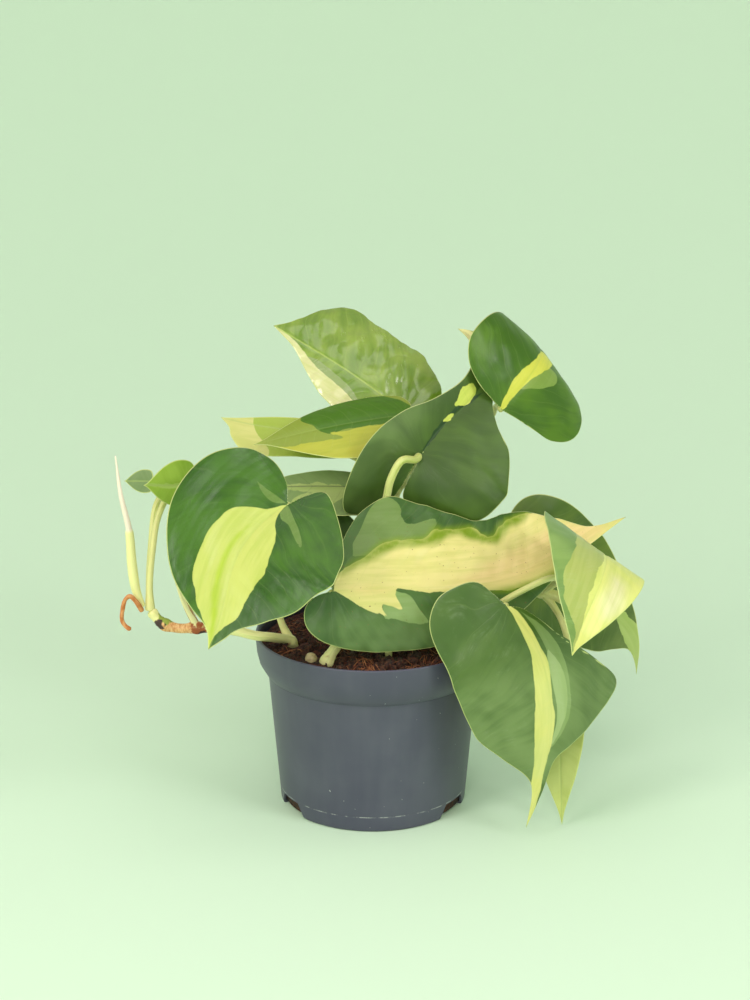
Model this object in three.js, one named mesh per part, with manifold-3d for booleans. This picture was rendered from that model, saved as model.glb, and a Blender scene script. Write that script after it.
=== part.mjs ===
// A potted brasil philodendron: heart-shaped variegated leaves on trailing vines in a 12 cm nursery pot.
//
// Millimetres, +Z up. The origin is the centre of the pot's underside. The front, the side that the
// leaves turn to, looks along -Y, and +X is to the right as seen from the front.
//
// The thin-walled pot holds a plug of potting mix. Four vines stand in plain holes in the mix, each
// grown in one piece with its leaf stalks. Every leaf blade sits on the end of its own stalk.
import * as THREE from 'three';
import { mergeVertices } from 'three/addons/utils/BufferGeometryUtils.js';
import Module from 'manifold-3d';

const wasm = await Module();
wasm.setup();

// Driving sizes of the pot
const POT_HEIGHT = 90.5;
const RIM_RADIUS = 60;
const BAND_HEIGHT = 19.5;
const BAND_FOOT_RADIUS = 55.4;
const SHOULDER_RADIUS = 53.8;
const FOOT_RADIUS = 47.9;
const WALL = 1.4;
const LIP = 0.7;
const FOOT_BEVEL = 1.5;
const BAND_STEP = 0.6;
const BAND_BULGE = [{ radius: 58.2, rise: 5 }, { radius: 59.4, rise: 10 }];
const BAND_INSIDE_CURVE = 0.45;
const POT_SEGMENTS = 48;
const NOTCH = { count: 3, firstAngle: -31, footHalfWidth: 12.5, topHalfWidth: 7.5, height: 7.5, depth: 8 };

// Driving sizes of the potting mix and of the plant
const GAP = 0.3;
const MIX_CLEARANCE = 0.65;
const HOLE_CLEARANCE = 0.55;
const SOIL_LEVEL = 85;
const SOIL_SEGMENTS = 36;
const SOIL_RINGS = [0.82, 0.62, 0.42, 0.2];
const SOIL_LUMP = 1.4;
const BLADE = 0.7;
const VINE_RADIUS = 2.7;
const STALK_RADIUS = 1.8;
const NODE_RADIUS = 3.6;
const STALK_FINISH = 10;
const SHEATH_RADII = [2, 1.6, 0.7];

// Colours of the parts
const slate = new THREE.MeshStandardMaterial({ color: 0x4d525c, roughness: 0.45, metalness: 0 });
const coir = new THREE.MeshStandardMaterial({ color: 0x3a2318, roughness: 0.95, metalness: 0 });
const stemGreen = new THREE.MeshStandardMaterial({ color: 0xc9cf86, roughness: 0.5, metalness: 0 });
const rootBrown = new THREE.MeshStandardMaterial({ color: 0xb5743c, roughness: 0.7, metalness: 0 });
const leafGreen = new THREE.MeshStandardMaterial({ color: 0x3f7a34, roughness: 0.4, metalness: 0 });

const plant = new THREE.Group();

/** Adds a closed geometry to the plant as a named mesh whose own origin is at `at`. */
function addPiece(name, geometry, material, at = new THREE.Vector3()) {
  const mesh = new THREE.Mesh(geometry, material);
  mesh.name = name;
  mesh.position.copy(at);
  plant.add(mesh);
  return mesh;
}

/** Turns a closed geometry into a solid for joining and cutting. */
function solid(geometry) {
  const bare = geometry.clone();
  bare.deleteAttribute('normal');
  bare.deleteAttribute('uv');
  const merged = mergeVertices(bare, 1e-4);
  return new wasm.Manifold(new wasm.Mesh({
    numProp: 3,
    vertProperties: Float32Array.from(merged.attributes.position.array),
    triVerts: Uint32Array.from(merged.index.array),
  }));
}

/** Turns a solid back into a geometry. */
function geometryOf(body) {
  const mesh = body.getMesh();
  const geometry = new THREE.BufferGeometry();
  geometry.setAttribute('position', new THREE.BufferAttribute(mesh.vertProperties, 3));
  geometry.setIndex(new THREE.BufferAttribute(mesh.triVerts, 1));
  geometry.computeVertexNormals();
  return geometry;
}

/** Joins several closed geometries into one. */
function fused(geometries) {
  return geometryOf(geometries.map(solid).reduce((joined, next) => joined.add(next)));
}

/** A round rod along a smooth curve through the given points. */
function rod(points, radius, steps, sides = 6) {
  const path = new THREE.CatmullRomCurve3(points, false, 'centripetal');
  const section = new THREE.Shape();
  for (let k = 0; k < sides; k += 1) {
    const angle = (2 * Math.PI * k) / sides;
    const corner = [radius * Math.cos(angle), radius * Math.sin(angle)];
    if (k === 0) section.moveTo(...corner);
    else section.lineTo(...corner);
  }
  return new THREE.ExtrudeGeometry(section, { steps, extrudePath: path, bevelEnabled: false });
}

const point = ([x, y, z]) => new THREE.Vector3(x, y, z);

// Leaf outlines
//
// A half outline runs from the stalk round the back lobe to the drip tip. u is measured along the
// midrib from the stalk, v across it, both in millimetres on the blade laid flat.

/** The plain heart outline of the species, for a blade of this length, half width and back lobe. */
function heart(length, halfWidth, lobe) {
  return [
    [0, 0], [-0.55 * lobe, 0.10 * halfWidth], [-lobe, 0.38 * halfWidth], [-0.75 * lobe, 0.70 * halfWidth],
    [-0.10 * lobe, 0.92 * halfWidth], [0.16 * length, halfWidth], [0.34 * length, 0.97 * halfWidth],
    [0.52 * length, 0.82 * halfWidth], [0.68 * length, 0.58 * halfWidth],
    [0.82 * length, 0.30 * halfWidth], [0.92 * length, 0.10 * halfWidth], [length, 0],
  ];
}

// The leaves
//
// at: where the blade meets its stalk. turn: heading, climb and roll of the midrib where it starts,
// in degrees. droop, sweep and twist: how the midrib has bent down, turned left and rolled by
// evenly spaced stations along it. fold: how far each half is raised from flat at the midrib.
// curl: how much further it has turned by its margin. back: how far the back lobes hang.
const LEAVES = [
  { name: 'leaf_front_left', at: [-41, -38, 168], turn: [-135, -36, -42], length: 84,
    droop: [0, 3, 8, 10], sweep: [-20, 4, 26, 13], fold: [[8], [8]], curl: [[5], [5]],
    left: [[0, 0], [-10, 1], [-19, 5], [-16, 19], [-9, 34], [-1, 43], [14, 47], [32, 46], [56, 37],
      [65, 22], [71, 10], [77, 5], [84, 0]],
    right: [[0, 0], [-5, 9], [-6, 20], [-1, 30], [6, 37], [16, 42], [30, 41], [43, 34], [55, 26],
      [67, 15], [75, 5], [84, 0]] },
  { name: 'leaf_long_centre', at: [-19, -38, 124], turn: [12, 2, 52], length: 165,
    droop: [0, 2, 4, 4, 10], sweep: [-2, -4, 6, 26, 26], twist: [0, 0, -6, -14, -22],
    fold: [[-4], [-18]], curl: [[0], [-20, -20, -40, -60, -40]],
    left: [[0, 0], [-3, 8], [4, 20], [11, 33], [19, 43], [32, 50], [49, 46], [68, 41], [87, 36],
      [107, 37], [122, 34], [135, 22], [146, 6], [165, 0]],
    right: [[0, 0], [-9, 2], [-15, 8], [-14, 18], [-4, 26], [15, 31], [38, 31], [60, 28], [84, 21],
      [104, 11], [122, 4], [144, 2], [165, 0]] },
  { name: 'leaf_front_right', at: [65, -49, 120], turn: [-33, -61, 42], length: 122,
    droop: [0, 10, 20, 24, 24], sweep: [20, -1, -19, -33, -39], fold: [[-12], [-5]], curl: [[-20], [-10]],
    left: [[0, 0], [6, 5], [17, 10], [30, 17], [41, 29], [53, 42], [61, 35], [69, 23], [77, 12], [85, 4],
      [102, 2], [122, 0]],
    right: [[0, 0], [-10, 1], [-19, 3], [-24, 11], [-26, 23], [-18, 35], [1, 42], [26, 45], [47, 44],
      [63, 41], [78, 35], [87, 23], [95, 8], [103, 3], [122, 0]] },
  { name: 'leaf_middle_dark', at: [25.3, 16, 180], turn: [42, 47, 35], length: 88, back: 32,
    droop: [0, 8, 10, -10], sweep: [0, -15, 25, 95], fold: [[40], [-5]], curl: [[-10], [-25]],
    left: [[0, 0], [-10, 1], [-26, 3], [-36, 12], [-38, 25], [-26, 30], [-8, 29], [8, 22], [20, 15],
      [34, 12], [50, 10], [66, 8], [78, 4], [88, 0]],
    right: [[0, 0], [-12, 0.5], [-25, 1], [-31, 9], [-31, 22], [-27, 35], [-17, 44], [0, 48],
      [14, 48], [25, 43], [33, 33], [37, 19], [45, 9], [62, 7], [76, 5], [88, 0]] },
  { name: 'leaf_top', at: [15, 52, 193], turn: [165, 36, -50], length: 86,
    droop: [0, 10, 20, 20], fold: [[-5], [0]], curl: [[-10], [-30]],
    left: [[0, 0], [-6, 6], [-4, 14], [8, 20], [22, 22], [34, 20], [42, 18], [53, 13], [68, 5],
      [78, 2], [86, 0]],
    right: [[0, 0], [-6, 3], [-10, 9], [-12, 19], [-6, 28], [4, 34], [15, 38], [26, 36], [40, 36],
      [54, 38], [64, 35], [72, 24], [79, 9], [86, 0]] },
  { name: 'leaf_upper_right', at: [66, 34, 197.5], turn: [26, 41, 80], length: 90,
    droop: [0, 28, 90, 115], curl: [[-15], [-15]],
    left: [[0, 0], [0, 8], [1, 20], [6, 31], [16, 38], [30, 38], [45, 33], [60, 23], [72, 12],
      [82, 4], [90, 0]],
    right: [[0, 0], [3, 10], [6, 22], [10, 34], [20, 43], [34, 43], [50, 34], [64, 22], [78, 8],
      [90, 0]] },
  { name: 'leaf_right_folded', at: [115, -14, 133.8], turn: [-92, 26, -28], length: 90,
    droop: [0, 32, 77, 46], sweep: [0, 10, 14, 13], fold: [[-1], [4, 22]],
    curl: [[-10, -3, -7], [8, -14, 2]],
    left: heart(90, 22, 3), right: heart(90, 37, 4) },
  { name: 'leaf_upper_left', at: [16, 36, 194.5], turn: [-160, -2, -38], length: 80,
    droop: [0, 5, 10, 10], curl: [[0], [-40]], left: heart(80, 24, 6), right: heart(80, 18, 6) },
  { name: 'leaf_far_left', at: [-20, 42, 180], turn: [-174, 14, -54], length: 60,
    droop: [0, 5, 8, -10],
    left: [[0, 0], [-5, 3], [-7, 7], [-3, 10], [6, 12], [20, 14], [34, 16], [46, 15], [53, 9],
      [55, 4], [60, 0]],
    right: [[0, 0], [-5, 3], [-6, 6], [-2, 8], [6, 9], [20, 8], [34, 6], [44, 4], [52, 2], [60, 0]] },
  { name: 'leaf_left_behind', at: [-7, 31.5, 157], turn: [-168, 7, -32], length: 62,
    droop: [0, 5, 10, 15], left: heart(62, 20, 6), right: heart(62, 11, 4) },
  { name: 'leaf_small_inner', at: [-17, 15, 120], turn: [150, 74, -39], length: 40,
    droop: [0, 10, 20, 30], left: heart(40, 17, 6), right: heart(40, 17, 6) },
  { name: 'leaf_right_behind', at: [74, 28, 124], turn: [0, -33, 67], length: 112,
    droop: [0, 34, 16, 6, -4], sweep: [0, 4, 4, -17, -67],
    left: [[0, 0], [-7, 4], [-12, 14], [-10, 26], [0, 34], [19, 37], [47, 34], [63, 25], [76, 15],
      [85, 9], [92, 5], [104, 1], [112, 0]],
    right: [[0, 0], [-7, 3], [-12, 13], [-9, 24], [-1, 31], [14, 34], [35, 33], [53, 28], [73, 24],
      [86, 19], [93, 11], [97, 4], [104, 1.5], [112, 0]] },
  { name: 'leaf_right_hanging', at: [94, -20, 78], turn: [-95, -72, 30], length: 80,
    droop: [0, 5, 5, 5], left: heart(80, 15, 5), right: heart(80, 18, 6) },
  { name: 'leaf_vine_end', at: [-92.9, 0, 167], turn: [-134, 10, -88], length: 26,
    droop: [0, 6, 10, 10], left: heart(26, 10.5, 5), right: heart(26, 13, 5) },
  { name: 'leaf_vine_small', at: [-112.9, 12, 165.8], turn: [148, -8, -76], length: 17,
    left: heart(17, 6, 2), right: heart(17, 6, 2) },
];

/** The value at fraction f of a smooth curve through evenly spaced stations. */
function along(stations, f) {
  const last = stations.length - 1;
  if (last <= 0) return stations[0] ?? 0;
  const x = Math.min(Math.max(f, 0), 1) * last;
  const i = Math.min(Math.floor(x), last - 1);
  const t = x - i;
  const value = (k) => stations[Math.min(Math.max(k, 0), last)];
  const [p0, p1, p2, p3] = [value(i - 1), value(i), value(i + 1), value(i + 2)];
  return 0.5 * (2 * p1 + (p2 - p0) * t + (2 * p0 - 5 * p1 + 4 * p2 - p3) * t * t
    + (3 * p1 - p0 - 3 * p2 + p3) * t * t * t);
}

/** A rod whose radius follows smooth stations from foot to tip. */
function taperedRod(points, radii, steps, sides = 6) {
  const geometry = rod(points, 1, steps, sides);
  const path = new THREE.CatmullRomCurve3(points, false, 'centripetal');
  const centres = path.getSpacedPoints(steps);
  const position = geometry.attributes.position;
  const corner = new THREE.Vector3();
  for (let k = 0; k < position.count; k += 1) {
    corner.fromBufferAttribute(position, k);
    const nearest = centres.reduce((best, c, i) => (
      c.distanceTo(corner) < centres[best].distanceTo(corner) ? i : best), 0);
    const radius = along(radii, nearest / steps);
    corner.sub(centres[nearest]).multiplyScalar(radius).add(centres[nearest]);
    position.setXYZ(k, corner.x, corner.y, corner.z);
  }
  return geometry;
}

const radians = THREE.MathUtils.degToRad;
const MIDRIB_STEP = 0.5;
const LOBE_REACH = 20;

/** The bent form of one leaf: it puts a point (u, v) of the flat blade in its place on the plant. */
class LeafForm {
  constructor(leaf) {
    this.leaf = leaf;
    this.widest = Math.max(...leaf.left.concat(leaf.right).map(([, v]) => v));
    const [heading, climb, roll] = leaf.turn.map(radians);
    this.placing = new THREE.Matrix4().makeRotationFromEuler(new THREE.Euler(roll, -climb, heading, 'ZYX'));
    this.start = Math.min(...leaf.left.concat(leaf.right).map(([u]) => u)) - MIDRIB_STEP;
    this.spine = [new THREE.Vector3()];
    const count = Math.ceil((leaf.length - this.start) / MIDRIB_STEP) + 1;
    for (let k = 1; k < count; k += 1) {
      const { along: step } = this.frame(this.start + (k - 0.5) * MIDRIB_STEP);
      this.spine.push(this.spine[k - 1].clone().addScaledVector(step, MIDRIB_STEP));
    }
    const stalkPoint = this.spinePoint(0);
    this.spine.forEach((p) => p.sub(stalkPoint));
  }

  /** The midrib's direction, the blade's left and its upward normal at u, before placing. */
  frame(u) {
    const f = u / this.leaf.length;
    const hang = radians(this.leaf.back ?? 0) * Math.min(Math.max(-u / LOBE_REACH, 0), 2);
    const bend = new THREE.Euler(
      radians(along(this.leaf.twist ?? [0], f)),
      radians(along(this.leaf.droop ?? [0], f)) - hang,
      radians(along(this.leaf.sweep ?? [0], f)),
      'ZYX',
    );
    const axes = [new THREE.Vector3(), new THREE.Vector3(), new THREE.Vector3()];
    new THREE.Matrix4().makeRotationFromEuler(bend).extractBasis(...axes);
    return { along: axes[0], left: axes[1], up: axes[2] };
  }

  /** The midrib's point at u, before placing. */
  spinePoint(u) {
    const x = Math.min(Math.max((u - this.start) / MIDRIB_STEP, 0), this.spine.length - 1.001);
    const i = Math.floor(x);
    return this.spine[i].clone().lerp(this.spine[i + 1], x - i);
  }

  /** The place of (u, v) on the left (side 1) or right (side -1) half, from the stalk's end. */
  place(u, v, side) {
    const { left, up } = this.frame(u);
    const f = u / this.leaf.length;
    const half = side > 0 ? 0 : 1;
    const fold = radians(along(this.leaf.fold?.[half] ?? [0], f));
    const curl = radians(along(this.leaf.curl?.[half] ?? [0], f));
    const bending = Math.abs(curl) < 1e-4 ? 1e-4 / this.widest : curl / this.widest;
    const across = (Math.sin(fold + bending * v) - Math.sin(fold)) / bending;
    const raised = (Math.cos(fold) - Math.cos(fold + bending * v)) / bending;
    return this.spinePoint(u).addScaledVector(left, side * across).addScaledVector(up, raised)
      .applyMatrix4(this.placing);
  }

  /** The blade's upward normal where the stalk meets it. */
  stalkNormal() {
    return this.frame(0).up.applyMatrix4(this.placing);
  }

  /** The direction in which the midrib leaves the stalk. */
  stalkDirection() {
    return this.frame(0).along.applyMatrix4(this.placing);
  }
}

const ROW_LENGTH = 8;
const COLUMNS = 4;
const MIDRIB_SHARE = 2.2;

/** A closed blade of even thickness, with both faces split into the same triangles. */
function bladeGeometry(form) {
  const { leaf } = form;
  const rows = Math.max(8, Math.round(leaf.length / ROW_LENGTH) + 4);
  const margins = [leaf.right, leaf.left].map((outline) => new THREE.CatmullRomCurve3(
    outline.map(([u, v]) => new THREE.Vector3(u, v, 0)), false, 'catmullrom', 0.5).getSpacedPoints(rows));
  const middle = [form.place(0, 0, 1)];
  for (let i = 1; i < rows; i += 1) {
    const rib = leaf.length * (i / rows) ** MIDRIB_SHARE;
    for (let j = -COLUMNS; j <= COLUMNS; j += 1) {
      const margin = margins[j > 0 ? 1 : 0][i];
      const t = Math.abs(j) / COLUMNS;
      middle.push(form.place(rib + (margin.x - rib) * t, margin.y * t, j > 0 ? 1 : -1));
    }
  }
  middle.push(form.place(leaf.length, 0, 1));

  const width = 2 * COLUMNS + 1;
  const at = (i, j) => {
    if (i === 0) return 0;
    if (i === rows) return middle.length - 1;
    return 1 + (i - 1) * width + j;
  };
  const faces = [];
  const addFace = (a, b, c) => {
    if (a !== b && b !== c && c !== a) faces.push([a, b, c]);
  };
  for (let i = 0; i < rows; i += 1) {
    for (let j = 0; j < width - 1; j += 1) {
      addFace(at(i, j), at(i + 1, j), at(i + 1, j + 1));
      addFace(at(i, j), at(i + 1, j + 1), at(i, j + 1));
    }
  }
  const rim = [];
  for (let i = 0; i < rows; i += 1) rim.push(at(i, 0));
  for (let i = rows; i > 0; i -= 1) rim.push(at(i, width - 1));
  return shell(middle, faces, rim, BLADE);
}

/** Thickens a surface, given as points, faces and the loop of its edge, into a closed sheet. */
function shell(middle, faces, rim, thickness) {
  const flat = new THREE.BufferGeometry().setFromPoints(middle);
  flat.setIndex(faces.flat());
  flat.computeVertexNormals();
  const normal = new THREE.Vector3();
  const upper = [];
  const lower = [];
  middle.forEach((p, k) => {
    normal.fromBufferAttribute(flat.attributes.normal, k);
    upper.push(p.clone().addScaledVector(normal, thickness / 2));
    lower.push(p.clone().addScaledVector(normal, -thickness / 2));
  });
  const below = middle.length;
  const triangles = faces.flatMap(([a, b, c]) => [a, b, c, c + below, b + below, a + below]);
  rim.forEach((a, k) => {
    const b = rim[(k + 1) % rim.length];
    triangles.push(b, a, a + below, b, a + below, b + below);
  });
  const geometry = new THREE.BufferGeometry().setFromPoints(upper.concat(lower));
  geometry.setIndex(triangles);
  geometry.computeVertexNormals();
  return geometry;
}

// The pot

/** A solid of revolution about the Z axis from [radius, height] points, from axis to axis. */
function turned(profile, segments) {
  const points = profile.map(([r, z]) => new THREE.Vector2(r, z));
  return new THREE.LatheGeometry(points, segments).rotateX(Math.PI / 2);
}

const FLOOR = WALL;
const BAND_Z = POT_HEIGHT - BAND_HEIGHT;

/** Radius of the pot's inner wall at a height. */
function innerRadius(z) {
  const slope = (SHOULDER_RADIUS - FOOT_RADIUS) / BAND_Z;
  if (z <= BAND_Z) return FOOT_RADIUS + slope * z - WALL;
  const rise = Math.min((z - BAND_Z) / (BAND_INSIDE_CURVE * BAND_HEIGHT), 1);
  return SHOULDER_RADIUS - WALL + (RIM_RADIUS - LIP - SHOULDER_RADIUS) * Math.sin(rise * Math.PI / 2);
}

/** A tapered body with a wider band at the rim and three drain notches cut out of the foot. */
function potGeometry() {
  const insideHeights = [0.95, 0.45, 0.3, 0.15, 0].map((share) => BAND_Z + share * BAND_HEIGHT);
  const profile = [
    [0, 0], [FOOT_RADIUS - FOOT_BEVEL, 0], [FOOT_RADIUS, FOOT_BEVEL],
    [SHOULDER_RADIUS, BAND_Z - BAND_STEP], [BAND_FOOT_RADIUS, BAND_Z],
    ...BAND_BULGE.map(({ radius, rise }) => [radius, BAND_Z + rise]),
    [RIM_RADIUS, POT_HEIGHT - LIP], [RIM_RADIUS - LIP, POT_HEIGHT], [RIM_RADIUS - 2 * LIP, POT_HEIGHT],
    ...insideHeights.map((z) => [innerRadius(z), z]),
    [innerRadius(FLOOR), FLOOR], [0, FLOOR],
  ];
  const notch = new THREE.Shape([
    new THREE.Vector2(-NOTCH.footHalfWidth, -WALL),
    new THREE.Vector2(NOTCH.footHalfWidth, -WALL),
    new THREE.Vector2(NOTCH.topHalfWidth, NOTCH.height),
    new THREE.Vector2(-NOTCH.topHalfWidth, NOTCH.height),
  ]);
  let body = solid(turned(profile, POT_SEGMENTS));
  for (let k = 0; k < NOTCH.count; k += 1) {
    const angle = radians(NOTCH.firstAngle + (360 / NOTCH.count) * k);
    const inner = FOOT_RADIUS - NOTCH.depth;
    const cutter = new THREE.ExtrudeGeometry(notch, { depth: 2 * NOTCH.depth, bevelEnabled: false })
      .rotateX(Math.PI / 2)
      .rotateZ(Math.PI / 2 + angle)
      .translate(inner * Math.cos(angle), inner * Math.sin(angle), 0);
    body = body.subtract(solid(cutter));
  }
  return geometryOf(body);
}

// The vines and leaf stalks

// A vine's path starts in the mix and runs to its growing end. A stalk leaves the vine at `from` and
// goes by way of the `via` points to its leaf. `reach` tilts the way the stalk meets the blade: how far
// along the midrib and along the blade's upward normal it stands off, which is from below unless given.
// A sheath is the dry wrapper of a leaf that has gone, still on its node.
const VINES = [
  { name: 'vine_left', radius: 2.4,
    path: [[-36, -2, 71], [-39, -5, 79], [-42, -8, 87], [-50, -16, 92], [-59, -20, 94.5],
      [-68, -20.5, 97], [-78, -19.5, 98], [-88, -18, 98], [-98, -16, 97], [-106, -15, 99.5],
      [-112, -14, 106]],
    nodes: [[-42, -8, 87], [-88, -18, 98], [-104, -15.5, 98.5], [-112, -14, 106]],
    sheath: [[-88, -18, 98], [-94, -16.5, 110], [-99.5, -14.5, 125]],
    stalks: [
      { leaf: 'leaf_front_left', from: [-42, -8, 87],
        via: [[-47, -4, 97], [-50, 0, 115], [-48, -3, 138]] },
      { leaf: 'leaf_vine_end', from: [-112, -14, 106],
        via: [[-112, -13, 118], [-110.5, -9, 135], [-107.5, -1, 152]] },
      { leaf: 'leaf_vine_small', from: [-112, -14, 106],
        via: [[-112.8, -6, 120], [-112, 2, 137], [-110.5, 10, 152]] },
    ] },
  { name: 'vine_middle', radius: VINE_RADIUS,
    path: [[-27, -37, 71], [-24, -35, 84], [-17, -32, 95], [-9, -25, 104], [-2, -14, 111]],
    nodes: [[-24, -35, 87], [-9, -25, 104]],
    stalks: [
      { leaf: 'leaf_long_centre', from: [-9, -25, 104], via: [[-12, -23, 112]] },
    ] },
  { name: 'vine_right', radius: VINE_RADIUS,
    path: [[13, 5, 71], [16, 4, 84], [24, 6, 97], [38, 8, 106], [54, 9, 110], [70, 7, 111],
      [86, 3, 110], [98, 0, 107]],
    nodes: [[24, 6, 97], [54, 9, 110], [86, 3, 110], [98, 0, 107]],
    stalks: [
      { leaf: 'leaf_front_right', from: [86, 3, 110],
        via: [[93, -6, 118], [92, -18, 124], [84, -30, 127]] },
      { leaf: 'leaf_right_folded', from: [98, 0, 107], via: [[106, -1, 110], [112, -2, 118]] },
      { leaf: 'leaf_right_hanging', from: [86, 3, 110], via: [[92, 0, 103], [97, -8, 94]] },
      { leaf: 'leaf_right_behind', from: [38, 8, 106], via: [[46, 26, 103], [62, 41, 109]] },
    ] },
  { name: 'vine_back', radius: VINE_RADIUS,
    path: [[0, 26, 71], [2, 25, 84], [5, 22, 104], [6, 19, 126], [8, 18, 146], [14, 24, 162],
      [24, 34, 173], [37, 44, 177], [50, 51, 181]],
    nodes: [[5, 22, 104], [6, 19, 126], [8, 18, 146], [14, 24, 162], [24, 34, 173], [50, 51, 181]],
    stalks: [
      { leaf: 'leaf_middle_dark', from: [6, 19, 135],
        via: [[5, 8, 150], [6.8, 3.2, 160], [9, -1.5, 171], [14, -1.5, 180]], reach: [-0.8, 0.75] },
      { leaf: 'leaf_upper_right', from: [50, 51, 181], via: [[61, 55, 188]], reach: [0.2, -1] },
      { leaf: 'leaf_upper_left', from: [14, 24, 162], via: [[17, 30, 176]] },
      { leaf: 'leaf_top', from: [24, 34, 173], via: [[22, 48, 180]] },
      { leaf: 'leaf_far_left', from: [8, 18, 146], via: [[8, 34, 157], [-4, 50, 165]] },
      { leaf: 'leaf_left_behind', from: [6, 19, 126], via: [[4, 24, 140]] },
      { leaf: 'leaf_small_inner', from: [5, 22, 104], via: [[-2, 25, 112]] },
    ] },
];

/** The end of a stalk, just clear of its blade, and the last point before it. */
function stalkEnd(form, reach) {
  const normal = form.stalkNormal();
  const away = form.stalkDirection().multiplyScalar(reach[0]).addScaledVector(normal, reach[1]).normalize();
  const square = Math.abs(away.dot(normal));
  const lean = Math.sqrt(1 - square * square);
  const steepest = Math.max(...[0, 1].map((half) => {
    const fold = along(form.leaf.fold?.[half] ?? [0], 0);
    return reach[1] < 0 ? -fold : fold;
  }), 0);
  const clear = BLADE / 2 + GAP + STALK_RADIUS * (lean + square * Math.tan(radians(steepest)));
  const junction = point(form.leaf.at);
  return [STALK_FINISH, clear / square].map((distance) => junction.clone().addScaledVector(away, distance));
}

const forms = new Map(LEAVES.map((leaf) => [leaf.name, new LeafForm(leaf)]));
const FROM_BELOW = [-0.2, -1];

/** A vine with its swollen nodes and its stalks, grown together as one piece. */
function vineGeometry(vine) {
  const pieces = [rod(vine.path.map(point), vine.radius, 2 * vine.path.length, 8)];
  for (const node of vine.nodes) {
    pieces.push(new THREE.SphereGeometry(NODE_RADIUS, 8, 6).translate(...node));
  }
  if (vine.sheath) {
    pieces.push(taperedRod(vine.sheath.map(point), SHEATH_RADII, 8));
  }
  for (const stalk of vine.stalks) {
    const ends = stalkEnd(forms.get(stalk.leaf), stalk.reach ?? FROM_BELOW);
    const route = [point(stalk.from), ...stalk.via.map(point), ...ends];
    pieces.push(rod(route, STALK_RADIUS, 2 * route.length + 2));
  }
  return fused(pieces);
}

// The potting mix

const STUBS = [
  { name: 'stem_stub_brown', foot: [-30, -30, 74], tip: [-31, -30, 89], radius: 3.4 },
  { name: 'stem_stub_green', foot: [7, -25, 74], tip: [8, -25, 90], radius: 1.8 },
];

/** A rod from one point straight to another. */
function straightRod(foot, tip, radius) {
  return rod([foot, foot.clone().lerp(tip, 0.5), tip], radius, 2, 8);
}

/** The height of the mix's top: two crossed waves that fade out towards the wall. */
function soilHeight(x, y, edge) {
  const inside = Math.max(0, 1 - Math.hypot(x, y) / edge);
  const lumps = Math.sin(0.31 * x + 0.9) * Math.cos(0.27 * y) + 0.6 * Math.sin(0.52 * y - 0.35 * x);
  return SOIL_LEVEL + SOIL_LUMP * lumps * Math.min(1, 4 * inside);
}

/** A plug of mix with an uneven top, and a plain hole for every stem that stands in it. */
function soilGeometry() {
  const bottom = FLOOR + GAP;
  const shoulder = SOIL_LEVEL - 1;
  const heights = [bottom, BAND_Z, BAND_Z + BAND_HEIGHT / 6, BAND_Z + BAND_HEIGHT / 3, shoulder];
  const edge = innerRadius(shoulder) - MIX_CLEARANCE;
  const profile = [
    [0, bottom], ...heights.map((z) => [innerRadius(z) - MIX_CLEARANCE, z]),
    ...SOIL_RINGS.map((share) => [share * edge, SOIL_LEVEL]), [0, SOIL_LEVEL],
  ];
  const plug = turned(profile, SOIL_SEGMENTS);
  const position = plug.attributes.position;
  for (let k = 0; k < position.count; k += 1) {
    if (position.getZ(k) > shoulder) {
      position.setZ(k, soilHeight(position.getX(k), position.getY(k), edge));
    }
  }
  let body = solid(plug);
  for (const vine of VINES) {
    const path = vine.path.slice(0, 4).map(point);
    path[0].z -= 2 * GAP;
    body = body.subtract(solid(rod(path, vine.radius + HOLE_CLEARANCE, 12, 8)));
    for (const node of vine.nodes.filter(([, , z]) => z < SOIL_LEVEL + 2 * NODE_RADIUS)) {
      const hole = new THREE.SphereGeometry(NODE_RADIUS + HOLE_CLEARANCE, 8, 6).translate(...node);
      body = body.subtract(solid(hole));
    }
  }
  for (const stub of STUBS) {
    const foot = point(stub.foot);
    foot.z -= 2 * GAP;
    body = body.subtract(solid(straightRod(foot, point(stub.tip), stub.radius + HOLE_CLEARANCE)));
  }
  return geometryOf(body);
}

// The new shoot and the aerial root at the end of the left vine

const SHOOT = [[-116.2, -15.4, 108.6], [-118.4, -15, 117], [-120, -14.5, 130], [-121, -14, 148],
  [-124.5, -14, 166], [-126.5, -14, 186]];
const SHOOT_RADII = [1.6, 2.5, 2.3, 1.9, 1.3, 0.5];
const AERIAL_ROOT = [[-115.3, -17.8, 106.3], [-118.2, -19.8, 112.4], [-121, -20.2, 115.2],
  [-123.2, -20.4, 113.7], [-124.8, -20.7, 108.4], [-125.2, -21, 102.7], [-123.2, -21.3, 99.6],
  [-120.8, -21.6, 98]];
const AERIAL_ROOT_RADIUS = 1.2;

// Putting the plant together

addPiece('pot', potGeometry(), slate);
addPiece('potting_mix', soilGeometry(), coir);
for (const vine of VINES) addPiece(vine.name, vineGeometry(vine), stemGreen);
for (const stub of STUBS) {
  addPiece(stub.name, straightRod(point(stub.foot), point(stub.tip), stub.radius), stemGreen);
}
addPiece('new_shoot', taperedRod(SHOOT.map(point), SHOOT_RADII, 16), stemGreen);
addPiece('aerial_root', rod(AERIAL_ROOT.map(point), AERIAL_ROOT_RADIUS, 16), rootBrown);
for (const [name, form] of forms) {
  addPiece(name, bladeGeometry(form), leafGreen, point(form.leaf.at));
}

export default plant;
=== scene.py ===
"""The visual model of a potted brasil philodendron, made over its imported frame.

Lengths are millimetres in this file, and metres once they reach Blender. The origin is the centre
of the pot's underside, +Z is up and the front, the side that the leaves turn to, looks along -Y.
"""
import logging
import math
from collections.abc import Sequence
from dataclasses import dataclass, field

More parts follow.
